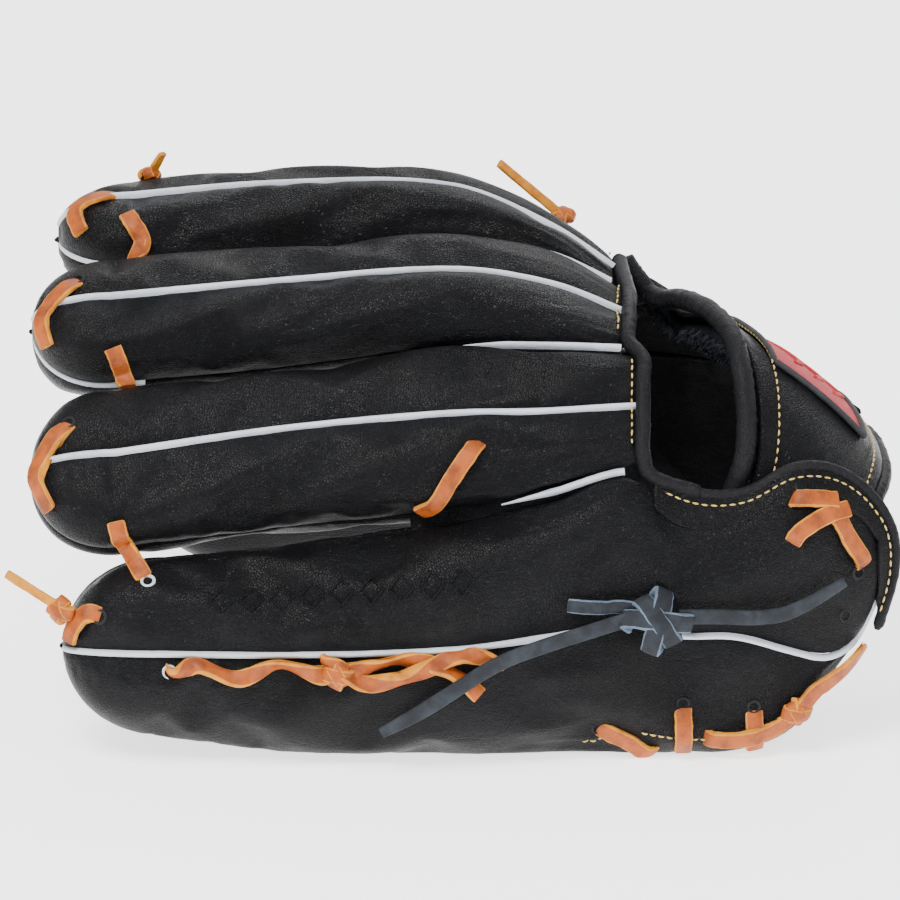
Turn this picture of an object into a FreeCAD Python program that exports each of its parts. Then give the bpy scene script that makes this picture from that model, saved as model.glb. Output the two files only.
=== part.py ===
"""A fielder's baseball glove for the left hand, lying palm down with its fingers along -X.

Every sub-part is a closed solid in its own file.  Sizes are millimetres.
The tables below are measured from the foot of the little-finger side; ORIGIN carries them to the
frame's origin, which is the bottom centre of the glove.
"""
import FreeCAD, Part
import math
import os

V = FreeCAD.Vector

# ---------------------------------------------------------------- driving dimensions
ORIGIN = V(5.36, 91.66, 3.5)     # frame origin, seen from the tables' own origin
LEATHER = 4.0                   # back leather with its bonded lining
PALM_LEATHER = 3.0
LINING = 1.2
FIT = 0.25                      # clearance between stacked soft layers
FELT_GAP = 0.4
PALM_FELT = 6.0
WELT_WIDTH = 2.6                # leather welt in the back seams
WELT_PROUD = 1.0
SHORT_WELT_HEIGHT = 5.0
FULLNESS = 2.4                  # squareness of a stall's rounded back
ARC_POINTS = 11
SECTION_STEP = 17.0
FRONT_END = 4.0                 # the finger palm faces end and the palm shell begins here
LINING_END = 30.0

# Edges between the stalls as (y, z): pinky foot, pinky/ring, ring/middle, middle/index, index edge.
ARCH = {
    -125: [(-8, 12), (4, 71), (50, 116.5), (104, 143), (155, 147)],
    -60: [(-7, 2.5), (9, 78), (56, 121), (106, 144.5), (159, 149)],
    0: [(-8, 1.5), (5, 87), (52, 131), (100, 152), (147, 153)],
    35: [(-6, 1.5), (5, 95.5), (42, 135), (92, 150), (133, 147)],
    62: [(-5, 1.5), (5, 103.5), (40, 134.4), (86, 139), (126, 133)],
}
# Height of each stall's rounded back over the line between its edges, at the arch's stations.
BULGE = {
    "pinky": [19, 24, 23, 19, 16],
    "ring": [18, 21, 17, 11, 6],
    "middle": [18, 20, 16, 11, 6],
    "index": [17, 20, 16, 9, 5],
}
STALL_GAP = {-125: 5.0, -60: 4.0, 0: 2.8, 35: 2.8, 62: 2.8}
FRONT_DEPTH = 14.0
TIP = {"pinky": -135.5, "ring": -147.0, "middle": -147.0, "index": -138.5, "thumb": -108.0}
BACK_END = {"ring": 66.0, "middle": 61.0, "index": 58.0}
TIP_LENGTH = {"pinky": 34.0, "ring": 30.0, "middle": 28.0, "index": 26.0, "thumb": 30.0}
TIP_STEPS = (0.0, 0.4, 0.68, 0.87, 0.97)
# The little-finger wall runs on to the wrist flap: x, foot (y, z), top (y, z), bulge, welt shift.
PINKY_WALL = [
    (80, (-4, 1.5), (3, 91), 14, 2),
    (100, (-4, 2.5), (3, 90), 12, 1),
    (120, (-2, 10), (5, 98), 11, -13),
    (133, (0, 26), (7, 96.5), 9, -24),
    (144, (4, 42), (9, 88), 6, -22),
    (150.5, (7, 57), (9, 77), 3, -9),
]
# The thumb: x, web edge (y, z), foot (y, z), bulge.
THUMB_STALL = [
    (-78, (180, 69), (186, 3), 18),
    (-40, (181, 75), (194, 2), 20),
    (10, (180, 82), (196, 1.5), 19),
    (52, (174, 88), (192, 1.5), 16),
]
THUMB_HEEL = [
    (70, (169, 90), (188, 1.5), 14),
    (105, (158, 90), (176, 2.5), 12),
    (119, (154, 88), (168, 9), 10),
    (131, (148, 85), (160, 28), 8),
    (146, (141, 78), (148, 46), 4),
]
# The saddle's outside, from the index finger's edge down toward the thumb, as (y, z).
SADDLE = {
    5.5: [(151, 150), (166, 139), (178, 119), (184, 97)],
    35: [(138, 148), (154, 138), (170, 119), (180, 97)],
    58: [(132, 135), (147, 127), (163, 113), (175, 96)],
}
THUMB_BREAK = 54.0              # the thumb stall ends here, the heel wall starts 5 mm further on
# The palm leather's outside, pinky foot to thumb foot, as (y, z) at each station.
PALM = {
    5.5: [(1, 4), (12, 40), (24, 72), (46, 104), (82, 127), (122, 135), (150, 116), (164, 82), (170, 44),
          (182, 4)],
    35: [(0, 3), (10, 34), (22, 60), (44, 84), (80, 102), (118, 108), (146, 93), (160, 66), (168, 38),
         (180, 3)],
    65: [(0, 3), (10, 28), (24, 46), (46, 62), (80, 75), (112, 78), (140, 68), (156, 48), (165, 28),
         (177, 3)],
    95: [(1, 3), (12, 20), (27, 32), (48, 42), (78, 50), (104, 51), (128, 44), (145, 32), (156, 18),
         (168, 3)],
    116: [(7, 6), (18, 13), (33, 22), (52, 31), (78, 37), (98, 37), (119, 31), (136, 22), (147, 14),
          (159, 7)],
}
# The strap: its hand edge and wrist edge, from the little-finger flap over to the thumb.
STRAP = [
    ((99, 14, 80), (141, 18, 60)),
    ((107, 20, 106), (146, 26, 82)),
    ((103, 45, 132), (150, 48, 88)),
    ((90, 86, 131), (147, 86, 86)),
    ((78, 119, 121), (141, 116, 80)),
    ((67, 127, 131), (132, 140, 68)),
]
STRAP_THICK = 3.6
STRAP_CROWN = 3.0
STRAP_ROLL_RADIUS = 3.2         # the rolled bindings and how far they stand off the strap's edges
HAND_ROLL_CLEAR = 6.0
WRIST_ROLL_CLEAR = 3.9
# The rolled edge round the wrist flap, from the hand opening to the heel.
FLAP_EDGE = [(71, 4, 102), (88, 4.5, 95.5), (104, 5.5, 96), (120, 9, 103.5), (134, 12, 102),
             (146, 13, 93.5), (154.5, 12, 80), (155.5, 9, 65), (149.5, 4, 45)]
# Laces on the backs, as (x, u) with u from -1 at the foot edge to 1 at the top edge.
LACE_RADIUS = 1.7
LACE_LIFT = 2.3
TIP_LACE_SPAN = (-0.6, -0.2, 0.2, 0.55)
PINKY_LOOP = [(-96, -0.21), (-74, -0.2), (-50, -0.13), (-34, -0.14), (-14, -0.1), (8, -0.3)]
THUMB_LOOP = [(-70, 0.2), (-48, 0.14), (-26, 0.2), (-4, 0.14), (18, 0.22)]
HEEL_LACE = [(54, -0.62), (68, -0.86), (82, -0.62), (96, -0.84), (108, -0.6), (122, -0.5)]
FLAP_LACE = [[(121, 0.7), (129, 0.74), (136, 0.78)], [(135, 0.62), (139, 0.46), (143, 0.3)]]
# The wrist lace on the little-finger wall: its knot, and each free tail from the knot outward.
WRIST_KNOT = (72.5, -21.9, 57.8)
WRIST_KNOT_RADIUS = 6.0
WRIST_LACE_RADIUS = 1.6
WRIST_TAILS = {
    "front": [(65.5, -21.4, 59.3), (50, -22.8, 54.7), (34, -25.8, 50.4), (17, -29.6, 45.4),
              (0, -32.4, 34.6), (-12, -31.3, 26.2), (-24, -29.2, 18.8)],
    "rear": [(80, -19.8, 58.5), (93, -17.9, 58.2), (108, -16.7, 56.8), (122, -15.6, 59.1),
             (138, -9.5, 68)],
}
WEB_THICK = 4.0
WEB_CORNER = 3.0
# The thumb swings about a vertical line through THUMB_AXIS (x, y); the web about WEB_HINGE.
THUMB_AXIS = (56.0, 167.0)
THUMB_ROOM_TOP = 97.0
WEB_HINGE = [(-100, 168, 143), (2, 156, 147)]


def station_frame(foot, top):
    """Centre, along-edge and outward unit vectors of a section from its two edge points."""
    centre = V(0, (foot[0] + top[0]) / 2, (foot[1] + top[1]) / 2)
    along = V(0, top[0] - foot[0], top[1] - foot[1])
    half = along.Length / 2
    along.normalize()
    return centre, half, along, V(0, -along.z, along.y)


class Section:
    """One cross-section of a stall: where it is, how wide, how high, and where its welt runs."""

    def __init__(self, x, foot, top, bulge, gap=0.0, shift=0.0):
        self.x = x
        centre, half, self.along, self.out = station_frame(foot, top)
        self.centre = centre + V(x, 0, 0)
        self.half = half - gap / 2
        self.bulge = bulge
        self.shift = shift

    def scaled(self, x, scale, bulge_scale):
        copy = Section(x, (0, 0), (1, 1), self.bulge * bulge_scale)
        copy.centre = V(x, self.centre.y, self.centre.z)
        copy.half = self.half * scale
        copy.along, copy.out, copy.shift = self.along, self.out, self.shift * scale
        return copy

    def arc(self, inset, side=1.0, depth=None, floor=0.0):
        """Points of the rounded outline, inset from the leather's outside, one side of the chord."""
        half = max(self.half - inset, 1.2)
        high = max((self.bulge if depth is None else depth) - inset, 0.8)
        points = []
        for i in range(ARC_POINTS):
            angle = math.pi * i / (ARC_POINTS - 1)
            u = math.copysign(abs(math.cos(angle)) ** (2 / FULLNESS), -math.cos(angle))
            w = abs(math.sin(angle)) ** (2 / FULLNESS)
            points.append(self.centre + self.along * (half * u)
                          + self.out * (side * (high * w) + floor))
        return points


def spline(points):
    curve = Part.BSplineCurve()
    last = len(points) - 1
    curve.interpolate(Points=points, Parameters=[i / last for i in range(last + 1)])
    return curve.toShape()


def line(a, b):
    return Part.LineSegment(a, b).toShape()


def closed_half(points):
    """A rounded outline closed by its straight chord."""
    return Part.Wire([spline(points), line(points[-1], points[0])])


def loft(wires):
    solid = Part.makeLoft(wires, True, True)
    if solid.Volume < 0:
        solid.reverse()
    return solid


def with_tip(sections, tip_x, tip_length):
    """Adds sections that round the stall off to its tip."""
    first = interpolated(sections, tip_x + tip_length)
    rounded = []
    for step in TIP_STEPS:
        scale = math.sqrt(1 - step ** 2.2)
        rounded.append(first.scaled(tip_x + tip_length * (1 - step), scale, 0.25 + 0.75 * scale))
    kept = [s for s in sections if s.x > tip_x + tip_length + 8]
    return list(reversed(rounded)) + kept


def interpolated(sections, x, smooth=False):
    """The section at x: straight between its neighbours, or on a smooth curve through them."""
    at = 0
    while at < len(sections) - 2 and sections[at + 1].x <= x:
        at += 1
    low, high = sections[at], sections[at + 1]
    before, after = sections[max(at - 1, 0)], sections[min(at + 2, len(sections) - 1)]
    span = high.x - low.x
    t = (x - low.x) / span
    smooth = smooth and 0 <= t <= 1

    def mix(read):
        p, q = read(low), read(high)
        if not smooth:
            return p * (1 - t) + q * t
        start = (q - read(before)) * (span / (high.x - before.x))
        end = (read(after) - p) * (span / (after.x - low.x))
        return (p * (1 - 3 * t ** 2 + 2 * t ** 3) + q * (3 * t ** 2 - 2 * t ** 3)
                + start * (t - 2 * t ** 2 + t ** 3) + end * (t ** 3 - t ** 2))

    made = low.scaled(x, 1.0, 1.0)
    made.centre = mix(lambda s: s.centre)
    made.centre.x = x
    made.half = mix(lambda s: s.half)
    made.bulge = mix(lambda s: s.bulge)
    made.shift = mix(lambda s: s.shift)
    made.along = mix(lambda s: s.along).normalize()
    made.out = V(0, -made.along.z, made.along.y)
    return made


def resampled(sections):
    """Extra sections in the long gaps, so straight lofts between them look smooth."""
    out = [sections[0]]
    for a, b in zip(sections, sections[1:]):
        count = max(1, round((b.x - a.x) / SECTION_STEP))
        out += [interpolated(sections, a.x + (b.x - a.x) * i / count, True) for i in range(1, count)]
        out.append(b)
    return out


def half_solid(sections, inset, side=1.0, depth=None, floor=0.0):
    """A solid half stall; with a side of -1 it is the palm half, as deep as depth."""
    return loft([closed_half(s.arc(inset, side, depth and depth * min(1.0, s.bulge / 15), floor))
                 for s in sections])


def hollowed(outside, sections, inset, side=1.0, depth=None, floor=0.0):
    """The outside less a smaller copy; a hair more inset is tried if the cut doesn't come out."""
    for nudge in (0.0, 0.04, 0.09, 0.15, 0.22):
        inside = half_solid(sections, inset + nudge, side, depth, floor)
        left = outside.cut(inside)
        if left.Solids and left.isValid() and 0 < left.Volume < outside.Volume - 0.6 * inside.Volume:
            return left
    raise RuntimeError("a hollow did not cut")


def longer(sections, start, end):
    """The same sections with extra ones before and after, for cutting tools."""
    first, last = sections[0], sections[-1]
    out = list(sections)
    if end:
        far = last.scaled(last.x + end, 1.0, 1.0)
        far.centre = last.centre + (last.centre - sections[-2].centre) * (end / (last.x - sections[-2].x))
        out.append(far)
    if start:
        out[0:0] = [first.scaled(first.x - start, 1.0, 1.0)]
    return out


def blade(sections, width, base, height):
    """A tall thin solid standing along the ridge, to cut a seam or to cut out a welt."""
    wires = []
    for s in sections:
        foot = s.centre + s.along * s.shift + s.out * base
        side = s.along * (width / 2)
        up = s.out * height
        corners = [foot - side, foot + side, foot + side + up, foot - side + up]
        wires.append(Part.makePolygon(corners + corners[:1]))
    return loft(wires)


def trimmed(solid):
    """Everything stands on the table, so what is below it goes."""
    table = Part.makeBox(700, 700, 60, V(-350, -250, ORIGIN.z - 60))
    return solid.cut(table) if solid.BoundBox.ZMin < ORIGIN.z else solid


PARTS = {}


def keep(name, *solids):
    shapes = [trimmed(s) for s in solids]
    found = [s for shape in shapes for s in shape.Solids if s.Volume > 5]
    PARTS[name] = Part.makeCompound(found) if len(found) > 1 else found[0]


def pieces_by_side(shape, section):
    """The two largest solids of a cut back, foot side first."""
    solids = sorted(shape.Solids, key=lambda s: -s.Volume)[:2]
    return sorted(solids, key=lambda s: (s.CenterOfMass - section.centre).dot(section.along))


# ---------------------------------------------------------------- stalls
def finger_sections(name):
    order = ["pinky", "ring", "middle", "index"].index(name)
    out = []
    for i, x in enumerate(sorted(ARCH)):
        foot, top = ARCH[x][order], ARCH[x][order + 1]
        out.append(Section(x, foot, top, BULGE[name][i], STALL_GAP[x]))
    return out


def back_panels(name, sections, outer_name, inner_name):
    """Two leather back panels with the welt between them, rounded over the tip."""
    outside = half_solid(sections, 0.0)
    hollow_sections = longer(sections, 0, 6)
    inside = half_solid(hollow_sections[1:], LEATHER, floor=-0.05)
    shell = hollowed(outside, hollow_sections[1:], LEATHER, floor=-0.05)
    seam = blade(longer(sections, 8, 6), WELT_WIDTH, -2.0, 44.0)
    foot_side, top_side = pieces_by_side(shell.cut(seam), sections[len(sections) // 2])
    keep(outer_name, foot_side)
    keep(inner_name, top_side)
    proud = [s.scaled(s.x - (WELT_PROUD if s is sections[0] else 0), 1.0, 1.0) for s in sections]
    bigger = half_solid(proud, -WELT_PROUD)
    strip = blade(longer(sections, 8, 6), WELT_WIDTH - 0.1, 1.5, 44.0)
    keep(name + "_welt", bigger.cut(inside).common(strip))


def front_parts(name, sections):
    """The stall's palm face and the felt that fills it."""
    depth = FRONT_DEPTH
    outside = half_solid(sections, 0.0, -1.0, depth, -FIT)
    inner = [s for s in sections[1:]]
    past_mouth = longer(inner, 0, 5)
    keep(name + "_palm_face", hollowed(outside, past_mouth, PALM_LEATHER, -1.0, depth, -FIT + 0.02))
    felt = half_solid(inner, PALM_LEATHER + FELT_GAP, -1.0, depth, -FIT)
    keep(name + "_felt", felt)


def lining(name, sections):
    """The soft sock a finger goes into, open at its hand end."""
    inner = sections[1:]
    outside = half_solid(inner, LEATHER + FELT_GAP, floor=FIT)
    keep(name + "_lining", hollowed(outside, longer(inner[1:], 0, 5), LEATHER + FELT_GAP + LINING,
                                    floor=FIT + LINING))


def up_to(sections, x):
    """The sections before x, ended by one exactly at x."""
    return [s for s in sections if s.x < x - 0.5] + [interpolated(sections, x)]


def make_finger(name):
    sections = with_tip(finger_sections(name), TIP[name], TIP_LENGTH[name])
    if name == "pinky":
        sections += [Section(x, foot, top, bulge, 2.8, shift) for x, foot, top, bulge, shift in PINKY_WALL]
        whole = sections = resampled(sections)
    else:
        sections = resampled(sections)
        sections.append(interpolated(sections, 75.0))
        whole = up_to(sections, BACK_END[name])
    BACKS[name] = whole
    back_panels(name, whole, name + "_back_outer", name + "_back_inner")
    front_parts(name, up_to(sections, FRONT_END))
    lining(name, up_to(sections, LINING_END))


def make_thumb():
    stall = [Section(x, foot, top, bulge, 2.8) for x, foot, top, bulge in THUMB_STALL]
    sections = resampled(with_tip(stall, TIP["thumb"], TIP_LENGTH["thumb"]))
    sections = up_to(sections, THUMB_BREAK)
    BACKS["thumb"] = sections
    back_panels("thumb", sections, "thumb_back_inner", "thumb_back_outer")
    front_parts("thumb", sections)
    lining("thumb", up_to(sections, LINING_END))
    heel = [Section(x, foot, top, bulge, 2.8) for x, foot, top, bulge in THUMB_HEEL]
    heel = resampled([interpolated(heel, THUMB_BREAK + 5)] + heel)
    outside = half_solid(heel, 0.0)
    keep("thumb_heel_wall", hollowed(outside, longer(heel, 6, 0)[:-1], LEATHER, floor=-0.05))


# ---------------------------------------------------------------- palm
def palm_row(x):
    """The palm leather's outside at x, as (y, z) points."""
    xs = sorted(PALM)
    at = 0
    while at < len(xs) - 2 and xs[at + 1] <= x:
        at += 1
    t = (x - xs[at]) / (xs[at + 1] - xs[at])
    pairs = zip(PALM[xs[at]], PALM[xs[at + 1]])
    return [(p[0] + (q[0] - p[0]) * t, p[1] + (q[1] - p[1]) * t) for p, q in pairs]


def dense(points, count=25):
    """The outline through the points, at even spacing."""
    return [(p.y, p.z) for p in spline([V(0, y, z) for y, z in points]).discretize(count)]


def offset_points(x, points, distance):
    """Points moved square to their own outline, away from the palm's hollow."""
    out = []
    for i, (y, z) in enumerate(points):
        before, after = points[max(i - 1, 0)], points[min(i + 1, len(points) - 1)]
        dy, dz = after[0] - before[0], after[1] - before[1]
        size = math.hypot(dy, dz)
        out.append(V(x, y - dz / size * distance, z + dy / size * distance))
    return out


def palm_layer(near, far, skip=0, start=0.0, end=0.0):
    """A curved sheet of the palm between two depths; skip leaves out points at both edges."""
    first, last = min(PALM) + start, max(PALM) - end
    xs = [first] + [x for x in range(20, 110, 15) if first + 6 < x < last - 6] + [last]
    wires = []
    for x in xs:
        outline = dense(palm_row(x))
        low = offset_points(x, outline, near)[skip:len(outline) - skip]
        high = offset_points(x, outline, far)[skip:len(outline) - skip]
        wires.append(Part.Wire([spline(low), line(low[-1], high[-1]), spline(high[::-1]),
                                line(high[0], low[0])]))
    return loft(wires)


def thumb_room():
    """Where the thumb swings: the palm and its layers leave it free."""
    corners = [V(THUMB_AXIS[0] + 1, THUMB_AXIS[1] - 6, -40), V(THUMB_AXIS[0] + 1, 260, -40),
               V(-30, 260, -40), V(-30, 106, -40)]
    return Part.Face(Part.makePolygon(corners + corners[:1])).extrude(V(0, 0, 40 + THUMB_ROOM_TOP))


def make_saddle():
    """The back leather that bridges from the index finger down toward the thumb."""
    wires = []
    for x in sorted(SADDLE):
        outline = dense(SADDLE[x], 9)
        low = offset_points(x, outline, -LEATHER)
        high = offset_points(x, outline, 0.0)
        wires.append(Part.Wire([spline(low), line(low[-1], high[-1]), spline(high[::-1]),
                                line(high[0], low[0])]))
    keep("thumb_saddle", loft(wires))


def make_palm():
    room = thumb_room()
    depth = PALM_LEATHER + FELT_GAP
    keep("palm_leather", palm_layer(0.0, PALM_LEATHER).cut(room))
    keep("palm_felt", palm_layer(depth, depth + PALM_FELT, 4, 1.0, 8.0).cut(room))
    depth += PALM_FELT + FELT_GAP
    keep("palm_lining", palm_layer(depth, depth + LINING, 4, 1.0, 1.5).cut(room))


# ---------------------------------------------------------------- strap
def strap_rows():
    """Rows over the wrist: hand edge, wrist edge and outward direction."""
    rows = [(V(*a), V(*b)) for a, b in STRAP]
    out = []
    for i, (a, b) in enumerate(rows):
        before, after = rows[max(i - 1, 0)], rows[min(i + 1, len(rows) - 1)]
        run = (after[0] + after[1] - before[0] - before[1]) * 0.5
        normal = run.cross(b - a).normalize()
        out.append((a, b, normal if normal.x > 0 or normal.z > 0 else -normal))
    return out


def strap_sheet(lift, thick, narrow, first=0, last=None):
    """A sheet over the strap's crowned outside, narrowed by a share of its width at both edges."""
    wires = []
    for a, b, normal in strap_rows()[first:last]:
        low = []
        for share in (narrow, 0.3, 0.5, 0.7, 1 - narrow):
            low.append(a + (b - a) * share + normal * (lift + 4 * STRAP_CROWN * share * (1 - share)))
        high = [p + normal * thick for p in low]
        wires.append(Part.Wire([spline(low), line(low[-1], high[-1]), spline(high[::-1]),
                                line(high[0], low[0])]))
    return loft(wires)


def rounded_path(points):
    """Straight runs joined by tangent arcs; each arc takes 0.45 of its shorter run."""
    edges, radii = [], []
    at = points[0]
    for a, b, c in zip(points, points[1:], points[2:]):
        before, after = b - a, c - b
        turn = before.getAngle(after)
        reach = 0.45 * min(before.Length, after.Length)
        radii.append(round(reach / math.tan(turn / 2), 1))
        start = b - before.normalize() * reach
        end = b + after.normalize() * reach
        bisector = (start + end) * 0.5 - b
        radius = reach / math.tan(turn / 2)
        centre = b + bisector.normalize() * math.hypot(reach, radius)
        middle = centre + (b - centre).normalize() * radius
        edges += [line(at, start), Part.Arc(start, middle, end).toShape()]
        at = end
    edges.append(line(at, points[-1]))
    return Part.Wire(edges), radii


def tube(points, radius):
    """A round solid along a rounded path."""
    path, radii = rounded_path(points)
    circle = Part.Wire(Part.makeCircle(radius, points[0], points[1] - points[0]))
    return path.makePipeShell([circle], True, False), radii


def lace(name, radius, *paths):
    solids = []
    for points in paths:
        solid, radii = tube([V(*p) for p in points], radius)
        solids.append(solid)
        print(f"{name}: arc radii {radii}")
    keep(name, *solids)


def roll_line(clear, edge):
    """The middle of a rolled binding along the strap's hand edge (0) or wrist edge (1)."""
    return [row[edge] + row[2] * 1.8 + (row[1] - row[0]).normalize() * clear for row in strap_rows()]


def make_strap():
    keep("wrist_strap", strap_sheet(0.0, STRAP_THICK, 0.0))
    keep("strap_fleece", strap_sheet(-6.0, 5.6, 0.08))
    keep("strap_patch", strap_sheet(STRAP_THICK + 0.3, 1.2, 0.16, 2, 5))
    keep("strap_hand_binding", tube(roll_line(-HAND_ROLL_CLEAR, 0), STRAP_ROLL_RADIUS)[0])
    keep("strap_wrist_binding", tube(roll_line(WRIST_ROLL_CLEAR, 1), STRAP_ROLL_RADIUS)[0])


# ---------------------------------------------------------------- bindings
def make_bindings():
    """The rolled edge of the hand opening on the three finger backs, and the flap's edge."""
    rolls = []
    for name in ("ring", "middle", "index"):
        sections = BACKS[name]
        start = BACK_END[name] + 0.3
        ends = [interpolated(sections, start), interpolated(sections, start + 4.5)]
        room = [interpolated(sections, start - 2), interpolated(sections, start + 7)]
        rolls.append(half_solid(ends, -1.2).cut(half_solid(room, LEATHER + 1.2, floor=-0.05)))
    strap_roll = tube(roll_line(-HAND_ROLL_CLEAR, 0), STRAP_ROLL_RADIUS + FIT)[0]
    keep("hand_opening_binding", *[roll.cut(strap_roll) for roll in rolls])
    edge = [tuple(p) for p in FLAP_EDGE]
    keep("flap_binding", tube([V(*p) for p in edge], 2.6)[0])


def short_welt(name, below, above, start, end):
    """A welt standing in the seam between two neighbouring stalls, near the hand opening."""
    wires = []
    for i in range(6):
        x = start + (end - start) * i / 5
        low, high = interpolated(BACKS[below], x), interpolated(BACKS[above], x)
        seam = (low.centre + low.along * low.half + high.centre - high.along * high.half) * 0.5
        up = (low.out + high.out).normalize()
        side = V(0, up.z, -up.y) * 0.8
        foot, top = seam - up * 1.0, seam + up * SHORT_WELT_HEIGHT
        corners = [foot - side, foot + side, top + side, top - side]
        wires.append(Part.makePolygon(corners + corners[:1]))
    keep(name, loft(wires))


def make_short_welts():
    short_welt("ring_pinky_welt", "pinky", "ring", 18.0, 61.0)
    short_welt("middle_ring_welt", "ring", "middle", 2.0, 60.0)
    short_welt("index_middle_welt", "middle", "index", 6.0, 57.0)


# ---------------------------------------------------------------- web
def web_frame():
    start, end = V(*WEB_HINGE[0]), V(*WEB_HINGE[1])
    along = (end - start).normalize()
    down = V(0, 25, -63)
    down = (down - along * down.dot(along)).normalize()
    return start, along, down, along.cross(down)


def web_plate(x0, x1, t0, t1, thick=WEB_THICK):
    """A rounded plate of the web: x along the index finger, t down toward the thumb."""
    start, along, down, normal = web_frame()
    base = start - normal * (thick / 2)
    corners = [base + along * x + down * t for x, t in ((x0, t0), (x1, t0), (x1, t1), (x0, t1))]
    plate = Part.Face(Part.makePolygon(corners + corners[:1])).extrude(normal * thick)
    upright = [e for e in plate.Edges if abs(e.tangentAt(e.FirstParameter).dot(normal)) > 0.99]
    return plate.makeFillet(WEB_CORNER, upright)


def make_web():
    keep("web_index_post", web_plate(0, 104, 3, 18))
    keep("web_crossbar", web_plate(34, 66, 18.4, 31.6))
    keep("web_thumb_post", web_plate(0, 104, 32, 47))


# ---------------------------------------------------------------- laces
def on_back(name, x, u, lift=None):
    """A point over a stall's back: u runs from -1 at the foot edge to 1 at the top edge."""
    section = interpolated(BACKS[name], x)
    height = section.bulge * (1 - abs(u) ** FULLNESS) ** (1 / FULLNESS)
    slope = section.bulge * abs(u) ** (FULLNESS - 1) / max(height, 1) ** (FULLNESS - 1)
    slope *= math.copysign(section.bulge ** (FULLNESS - 2) * section.bulge / section.half, u)
    normal = (section.out + section.along * min(max(slope, -4), 4)).normalize()
    point = section.centre + section.along * (section.half * u) + section.out * height
    return tuple(point + normal * (LACE_LIFT if lift is None else lift))


def wrap(name, x, spans, lift=None):
    """Points over a back at one station."""
    return [on_back(name, x, u, lift) for u in spans]


def make_laces():
    fingers = ("pinky", "ring", "middle", "index")
    tips = [wrap(name, TIP[name] + 9.0, TIP_LACE_SPAN, 3.5) for name in fingers]
    lace("fingertip_laces", LACE_RADIUS, *tips)
    ties = [[on_back("index", -112, -0.35), on_back("index", -108, -0.62), on_back("index", -104, -0.82)],
            [on_back("middle", -117, -0.45), on_back("middle", -113, -0.68), on_back("middle", -110, -0.86)],
            [on_back("ring", -116, -0.5), on_back("ring", -112, -0.72), on_back("ring", -110, -0.88)]]
    lace("finger_ties", LACE_RADIUS, *ties)
    lace("ring_lace", LACE_RADIUS, [on_back("ring", 7, -0.2), on_back("ring", 0, -0.5),
                                    on_back("ring", -8, -0.72), on_back("ring", -14, -0.9)])
    lace("pinky_loop_lace", LACE_RADIUS, [on_back("pinky", x, u) for x, u in PINKY_LOOP])
    lace("thumb_loop_lace", LACE_RADIUS, [on_back("thumb", x, u) for x, u in THUMB_LOOP])
    lace("heel_lace", LACE_RADIUS, [on_back("pinky", x, u) for x, u in HEEL_LACE])
    lace("flap_lace", LACE_RADIUS, *[[on_back("pinky", x, u) for x, u in run] for run in FLAP_LACE])
    PARTS["wrist_knot"] = Part.makeSphere(WRIST_KNOT_RADIUS, V(*WRIST_KNOT))
    lace("wrist_lace_front", WRIST_LACE_RADIUS, WRIST_TAILS["front"])
    lace("wrist_lace_rear", WRIST_LACE_RADIUS, WRIST_TAILS["rear"])


def make_web_laces():
    start, along, down, normal = web_frame()

    def at(x, t, lift=0.0):
        return tuple(start + along * x + down * t + normal * lift)

    zigzag = [at(6, -9, 5), at(16, 4, 5), at(28, -8, 5), at(40, 4, 5), at(52, -8, 5), at(64, 4, 5),
              at(76, -8, 5), at(88, 4, 5), at(98, -6, 5)]
    lace("web_index_lace", LACE_RADIUS, zigzag)
    lower = [at(6, 44, 5), at(16, 55, 5), at(28, 44, 5), at(40, 54, 5), at(52, 44, 5), at(64, 54, 5),
             at(76, 44, 5), at(88, 54, 5)]
    lace("web_thumb_lace", LACE_RADIUS, lower)


BACKS = {}
for finger in ("pinky", "ring", "middle", "index"):
    make_finger(finger)
make_thumb()
make_saddle()
make_palm()
make_strap()
make_bindings()
make_short_welts()
make_web()
make_laces()
make_web_laces()


def main():
    os.makedirs("parts", exist_ok=True)
    whole = FreeCAD.BoundBox()
    for name, shape in PARTS.items():
        shape.translate(-ORIGIN)
        whole.add(shape.BoundBox)
        shape.exportStep(f"parts/{name}.step")
        print(f"{name:24s} {'ok ' if shape.isValid() else 'BAD'} solids {len(shape.Solids)} "
              f"volume {shape.Volume / 1000:8.2f} cm3")
    print(f"box of the curves' poles {whole}")


main()
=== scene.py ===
import math
import random

import bmesh
import bpy
from mathutils import Matrix, Vector, noise
from mathutils.bvhtree import BVHTree


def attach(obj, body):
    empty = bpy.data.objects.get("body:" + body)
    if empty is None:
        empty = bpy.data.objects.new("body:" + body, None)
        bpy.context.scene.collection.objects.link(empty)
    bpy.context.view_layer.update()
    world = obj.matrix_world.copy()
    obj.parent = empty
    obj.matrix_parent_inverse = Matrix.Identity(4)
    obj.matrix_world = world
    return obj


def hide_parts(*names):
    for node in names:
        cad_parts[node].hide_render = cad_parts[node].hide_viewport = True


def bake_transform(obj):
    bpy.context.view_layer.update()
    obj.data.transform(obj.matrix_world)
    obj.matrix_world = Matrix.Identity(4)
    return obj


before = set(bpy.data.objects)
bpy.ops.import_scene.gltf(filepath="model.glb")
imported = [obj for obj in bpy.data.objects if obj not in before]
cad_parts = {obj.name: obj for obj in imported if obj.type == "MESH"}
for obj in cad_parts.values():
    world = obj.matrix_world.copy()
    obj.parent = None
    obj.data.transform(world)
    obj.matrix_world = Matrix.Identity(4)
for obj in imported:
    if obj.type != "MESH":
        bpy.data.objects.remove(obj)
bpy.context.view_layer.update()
random.seed(7)

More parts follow.
